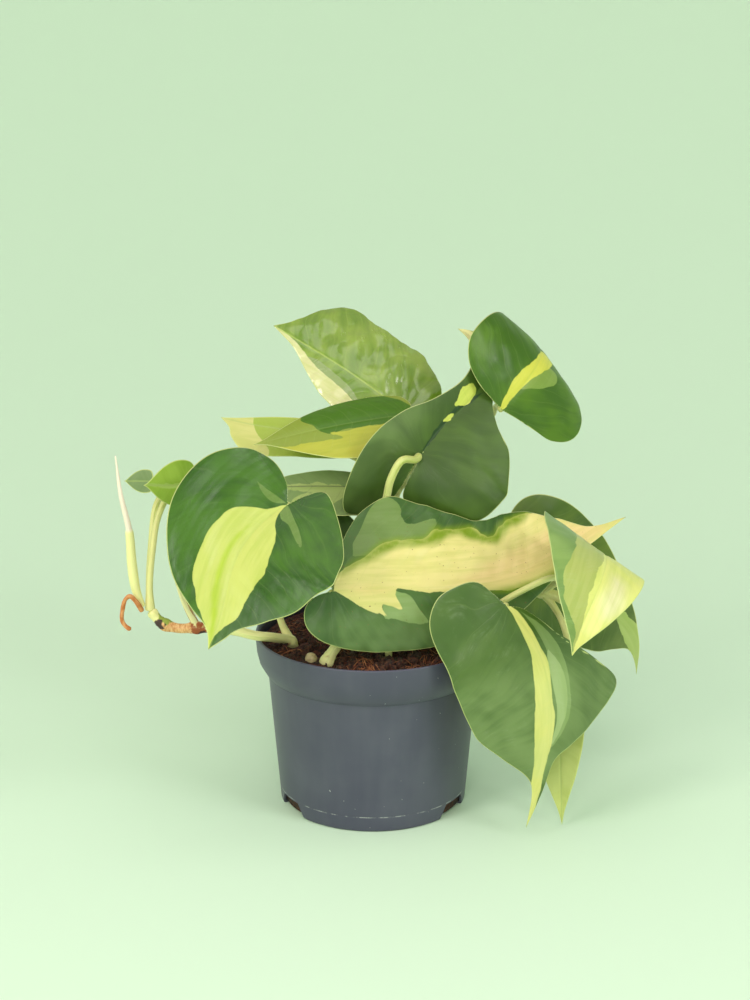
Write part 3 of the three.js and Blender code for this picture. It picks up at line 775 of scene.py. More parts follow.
@dataclass(frozen=True)
class Blade:
    """One leaf blade: its flat outline, the way it bends, where it sits and its marks."""

    name: str
    at: Point
    turn: Point
    length: float
    left: Outline
    right: Outline
    finish: LeafFinish
    marks: tuple[Mark, ...] = ()
    droop: Stations = (0,)
    sweep: Stations = (0,)
    twist: Stations = (0,)
    back: float = 0
    fold: tuple[Stations, Stations] = ((0,), (0,))
    curl: tuple[Stations, Stations] = ((0,), (0,))
    quilt: float = 0.10
    wave: float = 0.40
    wave_size: float = 40.0
    thickness: float = 0.56

    @property
    def widest(self) -> float:
        """The larger half width."""
        return max(v for _, v in self.left + self.right)

    def placing(self) -> Array:
        """The turn of the whole blade: roll, then climb, then heading."""
        heading, climb, roll = self.turn
        return rotation(2, heading) @ rotation(1, -climb) @ rotation(0, roll)

    def frames(self, u: Array) -> Array:
        """The midrib's direction, the blade's left and its upward normal, as columns, before placing."""
        f = u / self.length
        hang = self.back * np.clip(-u / LOBE_REACH, 0, 2)
        return (rotation(2, along(self.sweep, f)) @ rotation(1, along(self.droop, f) - hang)
                @ rotation(0, along(self.twist, f)))

    def spine(self, u: Array) -> Array:
        """The midrib's points: its direction summed in small steps, from nought at the stalk."""
        start = min(q for q, _ in self.left + self.right) - MIDRIB_STEP
        count = math.ceil((self.length - start) / MIDRIB_STEP)
        middles = start + (np.arange(count) + 0.5) * MIDRIB_STEP
        steps = self.frames(middles)[..., 0] * MIDRIB_STEP
        track = np.concatenate([np.zeros((1, 3)), np.cumsum(steps, axis=0)])
        marks = start + np.arange(count + 1) * MIDRIB_STEP
        track -= [np.interp(0, marks, track[:, k]) for k in range(3)]
        return np.stack([np.interp(u, marks, track[:, k]) for k in range(3)], -1)

    def bent(self, u: Array, v: Array, side: int) -> tuple[Array, Array]:
        """Places flat points of one half on the bent blade.

        Across the half the section is an arc: it leaves the midrib at the fold angle and turns by
        the curl over the widest half width. A point is its midrib point plus the arc's run across
        to the side and its rise along the upward normal.

        Args:
            u: distances along the midrib.
            v: distances across, from the midrib outward.
            side: 1 for the left half and -1 for the right one.

        Returns:
            The points and the upward normals there, in the plant's frame.
        """
        f = u / self.length
        half = 0 if side > 0 else 1
        least = 1e-6
        fold = np.radians(along(self.fold[half], f))
        bending = np.radians(along(self.curl[half], f)) / self.widest
        bending = np.where(np.abs(bending) < least, least, bending)
        slope = fold + bending * v
        run = (np.sin(slope) - np.sin(fold)) / bending
        rise = (np.cos(fold) - np.cos(slope)) / bending
        axes = self.frames(u)
        left, up = axes[..., 1], axes[..., 2]
        points = self.spine(u) + side * run[..., None] * left + rise[..., None] * up
        lean = slope * np.clip(v / FOLD_ROUND, 0, 1)
        normals = np.cos(lean)[..., None] * up - side * np.sin(lean)[..., None] * left
        turn = self.placing().T
        return np.asarray(self.at) + points @ turn, normals @ turn

    def half(self, outline: Outline, side: int) -> tuple[Array, Array, Array, Array, Array]:
        """The flat grid of one half, bent and placed.

        Row i joins the midrib at length * (i / rows) ** 2.2 to the margin, whose points are evenly
        spaced, and the columns gather towards the midrib and close up at the margin.

        Args:
            outline: the half's outline.
            side: 1 for the left half and -1 for the right one.

        Returns:
            Flat points, share of the way to the margin, distance to the margin, points, normals.
        """
        margin = smooth_stations(outline, BLADE_ROWS + 1, 0.0)
        rib = self.length * (np.arange(BLADE_ROWS + 1) / BLADE_ROWS) ** MIDRIB_SHARE
        start = np.stack([rib, np.zeros_like(rib)], -1)[:, None]
        last = 0.988
        share = np.append(np.linspace(0, last ** (1 / MARGIN_POWER), BLADE_COLUMNS) ** MARGIN_POWER, 1.0)
        flat = start + (margin[:, None] - start) * share[None, :, None]
        spots = flat.reshape(-1, 2)
        gaps = np.linalg.norm(spots[:, None] - margin[None], axis=-1)
        edge = gaps.min(1).reshape(flat.shape[:2])
        points, normals = self.bent(flat[..., 0], flat[..., 1], side)
        return flat * [1, side], np.broadcast_to(share, edge.shape), edge, points, normals

    def surface(self) -> Surface:
        """The whole blade with both faces.

        The middle surface is raised between the lateral veins, ruffled a little towards the margin
        and uneven all over. The upper face has a groove over the midrib, the lower one a keel under
        it, and the blade thins from the midrib to the margin.
        """
        halves = [self.half(self.right, -1), self.half(self.left, 1)]
        flat, share, edge, middle, normal = (
            np.concatenate([right[:, :0:-1], left], axis=1) for right, left in zip(*halves)
        )
        u, v = flat[..., 0], np.abs(flat[..., 1])
        level = u - VEIN_SLANT * v - VEIN_CURVE * v ** 2
        lobe = -np.degrees(np.arctan2(-np.minimum(level, 0), v + 2)) / LOBE_VEIN_ANGLE
        phase = np.where(level < 0, lobe, level / VEIN_SPACING)
        fraction = np.clip(u / self.length, 0, 1)
        away = np.clip(v / QUILT_FROM_RIB, 0, 1) * np.clip(edge / QUILT_FROM_MARGIN, 0, 1)
        raised = self.quilt * (0.5 - 0.5 * np.cos(2 * math.pi * phase)) * away
        sides = np.stack([u, flat[..., 1]], -1).reshape(-1, 2)
        ripple = soft_waves(sides, self.wave_size, len(self.name) + int(self.length)).reshape(u.shape)
        raised += self.wave * ripple * np.clip(v / WAVE_FROM_RIB, 0, 1)
        thick = self.thickness * (1 - 0.4 * share) * np.where(share == 1, 0.45, 1)
        groove = hump(v, *GROOVE) * (1 - 0.6 * fraction)
        keel = hump(v, *KEEL) * (1 - fraction) ** 0.7
        top = middle + normal * (raised + thick / 2 - groove)[..., None]
        bottom = middle + normal * (raised - thick / 2 - keel)[..., None]

        rows, columns = u.shape
        shift = rows * columns
        rims = []
        for column, order in ((0, 1), (columns - 1, -1)):
            here = np.arange(rows - 1) * columns + column
            corners = np.stack([here, here + shift, here + columns + shift, here + columns], -1)
            rims.append(corners[:, ::order])
        ends, grid = split_ends(grid_quads(rows, columns).reshape(rows - 1, columns - 1, 4))
        quads = np.concatenate([grid[:, ::-1], grid + shift, *rims])
        triangles = np.concatenate([ends[:, ::-1], ends + shift])
        points = np.concatenate([top.reshape(-1, 3), bottom.reshape(-1, 3)])
        blade = np.stack([u, flat[..., 1], edge], -1).reshape(-1, 3)
        surface = Surface(points, quads, triangles).named(
            blade=np.tile(blade, (2, 1)), vein=np.tile(phase.ravel(), 2),
            under=np.repeat([0.0, 1.0], shift),
        )
        for mark in self.marks:
            reach = np.max([signed_distance(sides, outline) for outline in mark.outlines], axis=0)
            surface.named(**{f"mark_{mark.name}": np.tile(reach, 2)})
        return welded(surface)

    def make(self) -> bpy.types.Object:
        """Makes the blade's piece."""
        material = self.finish.material(self.name, self.marks)
        return make_piece(f"{self.name}_blade", self.surface(), material, [self.name])


def split_ends(cells: Array) -> tuple[Array, Array]:
    """Splits the cells of a blade's first and last rows into triangles.

    Each of those rows closes up in one spot, so both cells beside the midrib have a corner pair in
    common. Each is split from its outer corner, or the two would share a whole triangle.

    Args:
        cells: the four corners of each cell, row by row.

    Returns:
        The triangles, and the cells of the rows between.
    """
    left = np.arange(cells.shape[1]) >= cells.shape[1] // 2
    triangles = []
    for row, straight in ((cells[0], left), (cells[-1], ~left)):
        a, b, c, d = row.T
        from_a = np.stack([np.stack([a, b, c], -1), np.stack([a, c, d], -1)], 1)
        from_b = np.stack([np.stack([b, c, d], -1), np.stack([b, d, a], -1)], 1)
        triangles.append(np.where(straight[:, None, None], from_a, from_b).reshape(-1, 3))
    return np.concatenate(triangles), cells[1:-1].reshape(-1, 4)


def welded(surface: Surface) -> Surface:
    """Merges points that lie on one another and drops the faces that this closes up."""
    keys = np.round(surface.points / WELD).astype(np.int64)
    _, first, index = np.unique(keys, axis=0, return_index=True, return_inverse=True)
    index = index.ravel()
    faces = index[surface.quads]
    same = faces == np.roll(faces, -1, axis=1)
    whole = faces[same.sum(1) == 0]
    part = faces[same.sum(1) == 1]
    kept = part[~same[same.sum(1) == 1]].reshape(-1, 3)
    triangles = np.concatenate([kept, index[surface.triangles]])
    triangles = triangles[(triangles != np.roll(triangles, -1, axis=1)).all(1)]
    return Surface(
        surface.points[first], whole, triangles,
        {name: value[first] for name, value in surface.values.items()},
    )


# Stems

SHEATH_RADII = (2.0, 1.6, 0.7)
STEM_SIDES = 32
STALK_SIDES = 24
STEM_STEP = 0.6
STALK_STEP = 0.7
LOOSE_STEP = 0.5
STALK_LEAD = 10.0
TAPER = 0.10
JOINT_BLUR = 0.02
JOINT_STEP = 0.22
KNOB_SIZE = 7.0

# How far a section is ridged, as a share of the radius, and how many ridges go round
STEM_RIDGES = (0.035, 5)
STALK_RIDGES = (0.05, 3)
SHEATH_RIDGES = (0.42, 3)

# Humps along a stem, as height, width and middle: at a node, just past it, and at a stalk's ends
NODE_SWELL = (0.95, 2.8)
NODE_RING = (0.28, 0.45, 3.4)
NODE_STAIN = (0.34, 2.2, 2.6)
STALK_FOOT = (0.45, 7.0)
STALK_HEAD = (0.12, 4.0)


@dataclass(frozen=True)
class Scar:
    """A stain on a stem: its middle on the plant, how far it reaches and its colour."""

    at: Point
    reach: float
    tone: str


@dataclass(frozen=True)
class StemFinish:
    """Smooth fleshy stem: pale yellow green with fine lengthwise streaks, corky where it is old."""

    pale: str = "ece5a2"
    green: str = "b0bb62"
    cork: str = "8a5a30"
    cork_light: str = "b98a56"
    tip: str = "f2e2d2"
    gloss: float = 0.38
    streak: float = 1.6
    ringed: float = 1.0
    scars: tuple[Scar, ...] = ()

    def material(self, name: str) -> bpy.types.Material:
        """Makes the stem's material."""
        n = Nodes(f"philodendron stem skin {name}")
        run, across, around = n.split(n.vector("stem"))
        place = n.place()
        space = n.joined(n.times(run, 0.10), n.times(across, 2.6), n.times(around, 2.6))
        streaks = n.noise(space, self.streak, 3.0)
        green = n.plus(n.value("green"), n.step(streaks, 0.52, 0.74, 0.6))
        colour = n.mix(green, self.pale, self.green)
        colour = n.mix(n.value("tip"), colour, self.tip)

        # Dry paper where a sheath is left, with brown edges along its length
        paper = n.mix(n.step(streaks, 0.54, 0.64), "e3dba6", "9a7346")
        colour = n.mix(n.value("paper"), colour, paper)

        # Cork breaks out in patches, with fine rings across the stem
        patches = n.noise(place, 6.0, 3.0)
        cork = n.plus(n.value("brown"), n.times(patches, 1.2, -0.6))
        rings = n.noise(n.joined(n.times(run, self.ringed), n.times(across, 0.4), around), 0.8, 3.0)
        old = n.step(cork, 0.35, 0.6)
        colour = n.mix(old, colour, n.mix(n.step(rings, 0.3, 0.7), self.cork, self.cork_light))
        for scar in self.scars:
            offset = {0: place, 1: scar.at}
            distance = n.add("ShaderNodeVectorMath", offset, operation="DISTANCE").outputs["Value"]
            ragged = n.plus(distance, n.times(n.noise(place, 2.2, 3.0), 5.0, -2.5))
            colour = n.mix(n.step(ragged, scar.reach, 0.75 * scar.reach), colour, scar.tone)
        relief = n.plus(n.times(streaks, 0.4), n.times(rings, old))
        n.dress(
            Base_Color=colour, Roughness=n.times(old, 0.25, self.gloss), IOR=1.42,
            Normal=n.bump(relief, 0.18, 0.7), Subsurface_Weight=0.10,
            Subsurface_Radius=(1.0, 0.9, 0.4), Subsurface_Scale=METRES,
        )
        return n.material


@dataclass(frozen=True)
class Stalk:
    """A leaf stalk: where it leaves the vine, its way, and how it meets its blade."""

    leaf: str
    start: Point
    via: tuple[Point, ...]
    reach: FlatPoint = (-0.2, -1.0)
    radius: float = 1.7
    green: float = 0.55


@dataclass(frozen=True)
class Vine:
    """A vine with its swollen nodes and the stalks that grow from it."""

    name: str
    radius: float
    path: tuple[Point, ...]
    nodes: tuple[Point, ...]
    stalks: tuple[Stalk, ...]
    sheath: tuple[Point, ...] = ()
    cork: tuple[tuple[float, float], ...] = ()
    finish: StemFinish = StemFinish()

    def stem(self) -> Surface:
        """The vine itself: a tube that swells at each node and carries a thin ring just past it."""
        stations, reach, _ = stepped(self.path, STEM_STEP)
        radii = np.full(len(stations), self.radius)
        brown = np.zeros(len(stations))
        for node in self.nodes:
            past = reach - reach[np.linalg.norm(stations - node, axis=1).argmin()]
            radii += hump(past, *NODE_SWELL)
            radii += hump(past, *NODE_RING)
            brown = np.maximum(brown, hump(past, *NODE_STAIN))
        for start, end in self.cork:
            middle, half = (start + end) / 2, (end - start) / 2
            brown = np.maximum(brown, np.clip(1.2 - np.abs(reach - middle) / half, 0, 1))
        return tube(stations, rounded_ends(reach, radii), STEM_SIDES, *STEM_RIDGES, brown=brown)

    def stalk(self, stalk: Stalk, blade: Blade) -> Surface:
        """One leaf stalk.

        It clasps the node with a wide foot, thins over the first centimetre, runs with shallow
        grooves and thickens again where it turns into the midrib. It stops as close to the blade
        as the nearer half lets it, which counts only for a stalk that comes from above.

        Args:
            stalk: the stalk.
            blade: the leaf that it carries.

        Returns:
            The stalk's surface.
        """
        axes = blade.placing() @ blade.frames(np.array([0.0]))[0]
        along_rib, up = axes[:, 0], axes[:, 2]
        away = stalk.reach[0] * along_rib + stalk.reach[1] * up
        away /= np.linalg.norm(away)
        square = abs(away @ up)
        lean = math.sqrt(1 - square ** 2)
        fold = max(0.0, *(side[0] for side in blade.fold)) if stalk.reach[1] > 0 else 0.0
        clear = blade.thickness / 2 + stalk.radius * (lean + square * math.tan(math.radians(fold)))
        ends = [tuple(np.asarray(blade.at) + away * d) for d in (STALK_LEAD, clear / square)]
        stations, reach, length = stepped([stalk.start, *stalk.via, *ends], STALK_STEP)
        taper = TAPER * np.clip(reach / length, 0, 1)
        radii = stalk.radius * (1 + hump(reach, *STALK_FOOT) - taper + hump(length - reach, *STALK_HEAD))
        green = stalk.green * np.clip(reach / length, 0, 1)
        return tube(stations, rounded_ends(reach, radii, False), STALK_SIDES, *STALK_RIDGES, green=green)

    def wrapper(self) -> Surface:
        """The dry sheath of a leaf that has gone: flat pleats that thin out to a point."""
        stations, _, length = stepped(self.sheath, LOOSE_STEP)
        reach = np.linspace(0, length, len(stations))
        radii = rounded_ends(reach, along(SHEATH_RADII, reach / length), False)
        ridge, ridges = SHEATH_RIDGES
        return tube(stations, radii, STEM_SIDES, ridge * (reach / length)[:, None], ridges, paper=1.0)

    def make(self, blades: dict[str, Blade]) -> bpy.types.Object:
        """Makes the vine's piece with its stalks and its sheath, if it has one."""
        surfaces = [self.stem()] + [self.stalk(s, blades[s.leaf]) for s in self.stalks]
        if self.sheath:
            surfaces.append(self.wrapper())
        skin = self.finish.material(self.name)
        return make_piece(f"{self.name}_stem", joined(surfaces), skin, [self.name])


@dataclass(frozen=True)
class LooseStem:
    """A stem of its own: a stub, the new shoot or the aerial root."""

    name: str
    path: tuple[Point, ...]
    radii: Stations
    slot: str = "stem"
    finish: StemFinish = StemFinish()
    brown: float = 0.0
    ridge: float = 0.03
    ridges: int = 5
    joint: float = 0.0
    knobs: float = 0.0

    def make(self) -> bpy.types.Object:
        """Makes the stem's piece. Past its joint, a shoot is thinner and takes the tip's colour."""
        stations, reach, _ = stepped(self.path, LOOSE_STEP)
        radii = along(self.radii, reach / reach[-1])
        radii *= 1 + self.knobs * soft_waves(stations, KNOB_SIZE, 4)
        beyond = np.zeros(len(reach))
        if self.joint:
            beyond = np.clip((reach / reach[-1] - self.joint) / JOINT_BLUR, 0, 1)
            radii *= 1 - JOINT_STEP * beyond
        surface = tube(
            stations, rounded_ends(reach, radii), STEM_SIDES, self.ridge, self.ridges,
            brown=self.brown, tip=beyond,
        )
        return make_piece(
            f"{self.name}_skin", surface, self.finish.material(self.name), [self.name],
        )


# Pot

@dataclass(frozen=True)
class PotPlastic:
    """Injection-moulded slate-blue polypropylene, satin, with a scuffed parting line near the foot."""

    base: str = "464658"
    worn: str = "5c5d6b"
    scuff: str = "c3c5c2"
    gloss: float = 0.40
    line_height: float = 8.2

    def material(self) -> bpy.types.Material:
        """Makes the pot's material."""
        n = Nodes("slate blue polypropylene")
        place = n.place()
        height = n.split(place)[2]
        dust = n.noise(place, 34.0, 3.0, 0.55)
        tall = {0: place, 1: (1.0, 1.0, 0.12)}
        flow = n.noise(n.add("ShaderNodeVectorMath", tall, operation="MULTIPLY").outputs[0], 7.0, 3.0)
        colour = n.mix(n.step(n.plus(dust, n.times(flow, 0.4)), 0.5, 1.0, 0.5), self.base, self.worn)

        # The parting line: a third of a millimetre wide and rubbed pale in dashes
        rubbed = n.noise(place, 5.0, 4.0, 0.75)
        off_line = n.math("ABSOLUTE", n.minus(height, self.line_height))
        dashes = n.times(n.step(off_line, 0.34, 0.12), n.step(rubbed, 0.44, 0.60, 0.55))
        colour = n.mix(dashes, colour, self.scuff)
        specks = n.step(n.noise(place, 1.7, 1.0), 0.80, 0.83, 0.7)
        colour = n.mix(specks, colour, self.scuff)
        grain = n.noise(place, 0.5, 2.0)
        relief = n.minus(n.times(grain, 0.2), n.step(off_line, 0.5, 0.1))
        n.dress(
            Base_Color=colour, Roughness=n.times(dust, 0.16, self.gloss - 0.08),
            Normal=n.bump(relief, 0.08, 0.6), IOR=1.49,
        )
        return n.material


@dataclass(frozen=True)
class Pot:
    """The thin-walled nursery pot with a wide band at the rim and three notches in its foot."""

    plastic: PotPlastic = PotPlastic()
    segments: int = 192
    notch_count: int = 3
    notch_angle: float = -31.0
    notch_foot: float = 12.5
    notch_top: float = 7.5
    notch_height: float = 7.5
    notch_depth: float = 8.0
    foot_round: float = 1.5
    lip_bevel: float = 0.3
    bulge: tuple[FlatPoint, ...] = ((58.2, 5), (59.4, 10), (59.8, 15))
    floor_radius: float = 20.0
    sharp_from: float = 40.0

    @property
    def band_z(self) -> float:
        """The height of the band's lower edge."""
        return POT_HEIGHT - BAND_HEIGHT

    def inner_radius(self, z: float) -> float:
        """The radius of the inner wall at a height."""
        if z <= self.band_z:
            return FOOT_RADIUS + (SHOULDER_RADIUS - FOOT_RADIUS) / self.band_z * z - WALL
        rise = min((z - self.band_z) / (0.45 * BAND_HEIGHT), 1)
        return SHOULDER_RADIUS - WALL + (RIM_RADIUS - LIP - SHOULDER_RADIUS) * math.sin(rise * math.pi / 2)

    def profile(self) -> Array:
        """The turned outline, from the middle of the underside by the outer wall and rim to the floor."""
        z, r = self.band_z, self.foot_round
        flare, rise = SHOULDER_RADIUS - FOOT_RADIUS, z - 2.3
        quarter = np.linspace(0, math.pi / 2, 5)
        foot = [(FOOT_RADIUS - r + r * math.sin(a), r - r * math.cos(a)) for a in quarter]
        wall = [(FOOT_RADIUS + flare * share, r + rise * share) for share in (0.1, 0.5, 0.9, 1)]
        band = [
            (BAND_FOOT_RADIUS - 0.4, z - 0.35), (BAND_FOOT_RADIUS, z + 0.1),
            *((radius, z + above) for radius, above in self.bulge), (RIM_RADIUS, POT_HEIGHT - LIP),
        ]
        lip = [
            (RIM_RADIUS - LIP + LIP * math.cos(a), POT_HEIGHT - LIP + LIP * math.sin(a))
            for a in np.linspace(self.lip_bevel, math.pi - self.lip_bevel, 7)
        ]
        heights = [z + s * BAND_HEIGHT for s in np.linspace(0.93, 0, 12)] + [WALL]
        inner = [(self.inner_radius(height), height) for height in heights]
        middle = self.floor_radius
        return np.array([
            (0, 0), (middle, 0), *foot, *wall, *band, *lip, *inner, (middle, WALL), (0, WALL),
        ])

    def notch_cutter(self, k: int) -> bpy.types.Object:
        """The block that cuts one notch: narrower at the top than at the foot."""
        foot, narrow, bottom, top = self.notch_foot, self.notch_top, -WALL, self.notch_height
        outline = [(-foot, bottom), (foot, bottom), (narrow, top), (-narrow, top)]
        near, far = FOOT_RADIUS - self.notch_depth, FOOT_RADIUS + self.notch_depth
        corners = np.array([(r, y, z) for r in (near, far) for y, z in outline])
        corners = corners @ rotation(2, self.notch_angle + 360 / self.notch_count * k).T
        faces = [(3, 2, 1, 0), (4, 5, 6, 7), (0, 1, 5, 4), (1, 2, 6, 5), (2, 3, 7, 6), (3, 0, 4, 7)]
        return linked("notch", plain_mesh("notch", corners, faces))

    def make(self) -> bpy.types.Object:
        """Makes the pot's piece and cuts its notches."""
        shell = turned(self.profile(), self.segments)
        piece = make_piece("pot_body", shell, self.plastic.material(), ["pot"])
        carve(piece, [self.notch_cutter(k) for k in range(self.notch_count)])
        piece.data.set_sharp_from_angle(angle=math.radians(self.sharp_from))
        return piece


def carve(piece: bpy.types.Object, cutters: Sequence[bpy.types.Object]) -> None:
    """Cuts the cutters out of a piece for good, dissolves points in mid edge and removes the cutters."""
    for cutter in cutters:
        cut = piece.modifiers.new("cut", "BOOLEAN")
        cut.operation = "DIFFERENCE"
        cut.solver = "EXACT"
        cut.object = cutter
    graph = bpy.context.evaluated_depsgraph_get()
    mesh = bpy.data.meshes.new_from_object(piece.evaluated_get(graph))
    shape = bmesh.new()
    shape.from_mesh(mesh)
    bmesh.ops.dissolve_verts(shape, verts=[v for v in shape.verts if len(v.link_edges) == 2])
    shape.to_mesh(mesh)
    shape.free()
    old, name = piece.data, piece.data.name
    piece.modifiers.clear()
    piece.data = mesh
    bpy.data.meshes.remove(old)
    mesh.name = name
    for cutter in cutters:
        block = cutter.data
        bpy.data.objects.remove(cutter)
        bpy.data.meshes.remove(block)
    log.info("%s: %d faces once cut", piece.name, len(mesh.polygons))


# Potting mix

@dataclass(frozen=True)
class CoirFinish:
    """Damp coir and peat: dark brown crumbs with reddish fibres."""

    dark: str = "200d06"
    light: str = "5c2a15"
    size: float = 2.2
    gloss: float = 0.85

    def material(self, name: str) -> bpy.types.Material:
        """Makes the mix's material."""
        n = Nodes(f"coir potting mix {name}")
        place = n.place()
        lumps = n.noise(place, self.size, 5.0, 0.65)
        colour = n.mix(n.step(lumps, 0.38, 0.66), self.dark, self.light)
        n.dress(Base_Color=colour, Roughness=self.gloss, Normal=n.bump(lumps, 1.0, 0.9))
        return n.material


@dataclass(frozen=True)
class PottingMix:
    """The plug of mix in the pot, with loose crumbs and fibres on its uneven top."""

    pot: Pot
    plug_finish: CoirFinish = CoirFinish()
    crumb_finish: CoirFinish = CoirFinish("1f1009", "5e3520", 1.4)
    fibre_finish: CoirFinish = CoirFinish("6a3418", "a86c40", 3.0, 0.7)
    crumbs: int = 1500
    fibres: int = 620
    crumb_room: float = 3.2
    fibre_room: float = 9.0
    segments: int = 120
    rings: int = 44
    hole_stations: int = 24
    hole_sides: int = 20
    shaft: float = 1.0

    def skirt(self, z: float) -> float:
        """The plug's radius at a height: a little inside the pot's wall."""
        return self.pot.inner_radius(z) - MIX_GAP - WALL / 4

    @property
    def edge(self) -> float:
        """The radius of the mix's top."""
        return self.skirt(SOIL_LEVEL - 1)

    def level(self, x: Array, y: Array) -> Array:
        """The height of the top: the mix's level plus two crossed waves that fade out at the wall."""
        inside = np.clip(1 - np.hypot(x, y) / self.edge, 0, 1)
        lumps = np.sin(0.31 * x + 0.9) * np.cos(0.27 * y) + 0.6 * np.sin(0.52 * y - 0.35 * x)
        fine = soft_waves(np.stack([x, y], -1), 7.0, 3)
        return SOIL_LEVEL + (1.4 * lumps + 0.5 * fine) * np.minimum(1, 4 * inside)

    def plug(self) -> Surface:
        """The plug: turned to the pot's inside, with its top lifted to the uneven level."""
        bottom = WALL + MIX_GAP
        heights = [bottom, self.pot.band_z, *np.linspace(self.pot.band_z, SOIL_LEVEL - 1, 7)[1:]]
        side = [(self.skirt(z), z) for z in heights]
        top = [(self.edge * s, SOIL_LEVEL) for s in np.linspace(0.985, 0.02, self.rings)]
        surface = turned(np.array([(0, bottom), *side, *top, (0, SOIL_LEVEL)]), self.segments)
        x, y, z = surface.points.T
        surface.points[:, 2] = np.where(z > SOIL_LEVEL - 0.5, self.level(x, y), z)
        return surface

    def scattered(self, count: int, seed: int, stems: Array, room: float) -> Array:
        """Random places on the top that keep clear of the stems.

        Args:
            count: how many places to draw.
            seed: which draw to use.
            stems: the stems' places in the mix, with their radii.
            room: how far to keep from each stem's skin.

        Returns:
            The places, one row each, and fewer of them than drawn.
        """
        draw = np.random.default_rng(seed)
        radius = (self.edge - 3.0) * np.sqrt(draw.uniform(0, 1, count))
        angle = draw.uniform(0, 2 * math.pi, count)
        x, y = radius * np.cos(angle), radius * np.sin(angle)
        gap = np.hypot(x[:, None] - stems[:, 0], y[:, None] - stems[:, 1]) - stems[:, 2]
        clear = gap.min(1) > room
        x, y = x[clear], y[clear]
        return np.stack([x, y, self.level(x, y)], -1)

    def crumb_surface(self, stems: Array) -> Surface:
        """The crumbs: unit balls squeezed to three random widths, roughened, turned and set down."""
        draw = np.random.default_rng(5)
        places = self.scattered(self.crumbs, 11, stems, self.crumb_room)
        ball = turned(np.array([(math.sin(a), -math.cos(a)) for a in np.linspace(0, math.pi, 7)]), 8)
        widths = draw.gamma(3.0, 0.35, (len(places), 1, 1)) * draw.uniform(0.6, 1.3, (len(places), 1, 3))
        rough = 1 + 0.22 * draw.normal(size=(len(places), len(ball.points), 1))
        lumps = ball.points[None] * widths * rough
        spin = rotation(2, draw.uniform(0, 360, len(places)))
        spin = spin @ rotation(0, draw.uniform(-40, 40, len(places)))
        lumps = lumps @ spin.transpose(0, 2, 1) + places[:, None]
        shift = (np.arange(len(places)) * len(ball.points))[:, None, None]
        return Surface(lumps.reshape(-1, 3), (ball.quads + shift).reshape(-1, 4),
                       (ball.triangles + shift).reshape(-1, 3))

    def fibre_surface(self, stems: Array) -> Surface:
        """The fibres: thin bent threads that lie on the top, with both ends a little in it."""
        draw = np.random.default_rng(8)
        places = self.scattered(self.fibres, 12, stems, self.fibre_room)
        threads = []
        for place in places:
            angle, length = draw.uniform(0, math.pi), draw.uniform(5, 16)
            run = np.linspace(-0.5, 0.5, 9)
            bow = draw.uniform(-0.25, 0.25) * length * (1 - 4 * run ** 2)
            x = place[0] + run * length * math.cos(angle) - bow * math.sin(angle)
            y = place[1] + run * length * math.sin(angle) + bow * math.cos(angle)
            held = np.hypot(x, y) > self.edge - 2.5
            lift = 0.9 + draw.uniform(-0.3, 0.9) * (1 - 4 * run ** 2)
            path = np.stack([x, y, self.level(x, y) + lift - 0.8 * (2 * run) ** 4], -1)
            if not held.any():
                threads.append(tube(path, np.full(len(path), draw.uniform(0.10, 0.22)), 5))
        return joined(threads)

    def make(self, vines: Sequence[Vine], stubs: Sequence[LooseStem]) -> None:
        """Makes the plug with a hole for each stem, and the loose pieces on it."""
        plug_skin = self.plug_finish.material("plug")
        plug = make_piece("potting_mix_plug", self.plug(), plug_skin, ["potting_mix"])
        holes, stems = [], []
        sunk = [(vine.path[:4], vine.radius + self.shaft) for vine in vines]
        sunk += [(stub.path, stub.radii[0]) for stub in stubs]
        for path, radius in sunk:
            stations = smooth_stations(path, self.hole_stations)
            bore = tube(stations, np.full(len(stations), radius + MIX_GAP), self.hole_sides)
            mesh = plain_mesh("hole", bore.points, bore.quads.tolist() + bore.triangles.tolist())
            holes.append(linked("hole", mesh))
            x, y, _ = stations[np.abs(stations[:, 2] - SOIL_LEVEL).argmin()]
            stems.append((x, y, radius))
        carve(plug, holes)
        spots = np.array(stems)
        loose = {
            "crumbs": (self.crumb_surface, self.crumb_finish),
            "fibres": (self.fibre_surface, self.fibre_finish),
        }
        for kind, (build, finish) in loose.items():
            make_piece(f"potting_mix_{kind}", build(spots), finish.material(kind), [])


# Studio

@dataclass(frozen=True)
class Lamp:
    """A square soft light: where it hangs in metres, its side in metres, its watts and its colour."""

    name: str
    place: Point
    side: float
    watts: float
    tint: str
    aim: Point = (0.0, 0.0, 0.13)

    def make(self) -> None:
        """Hangs the light and turns it to what it looks at."""
        data = bpy.data.lights.new(self.name, "AREA")
        data.size = self.side
        data.energy = self.watts
        data.color = hex_colour(self.tint)[:3]
        light = linked(self.name, data)
        light.location = self.place
        x, y, z = np.asarray(self.aim) - np.asarray(self.place)
        light.rotation_euler = (math.atan2(math.hypot(x, y), -z), 0, math.atan2(-x, y))


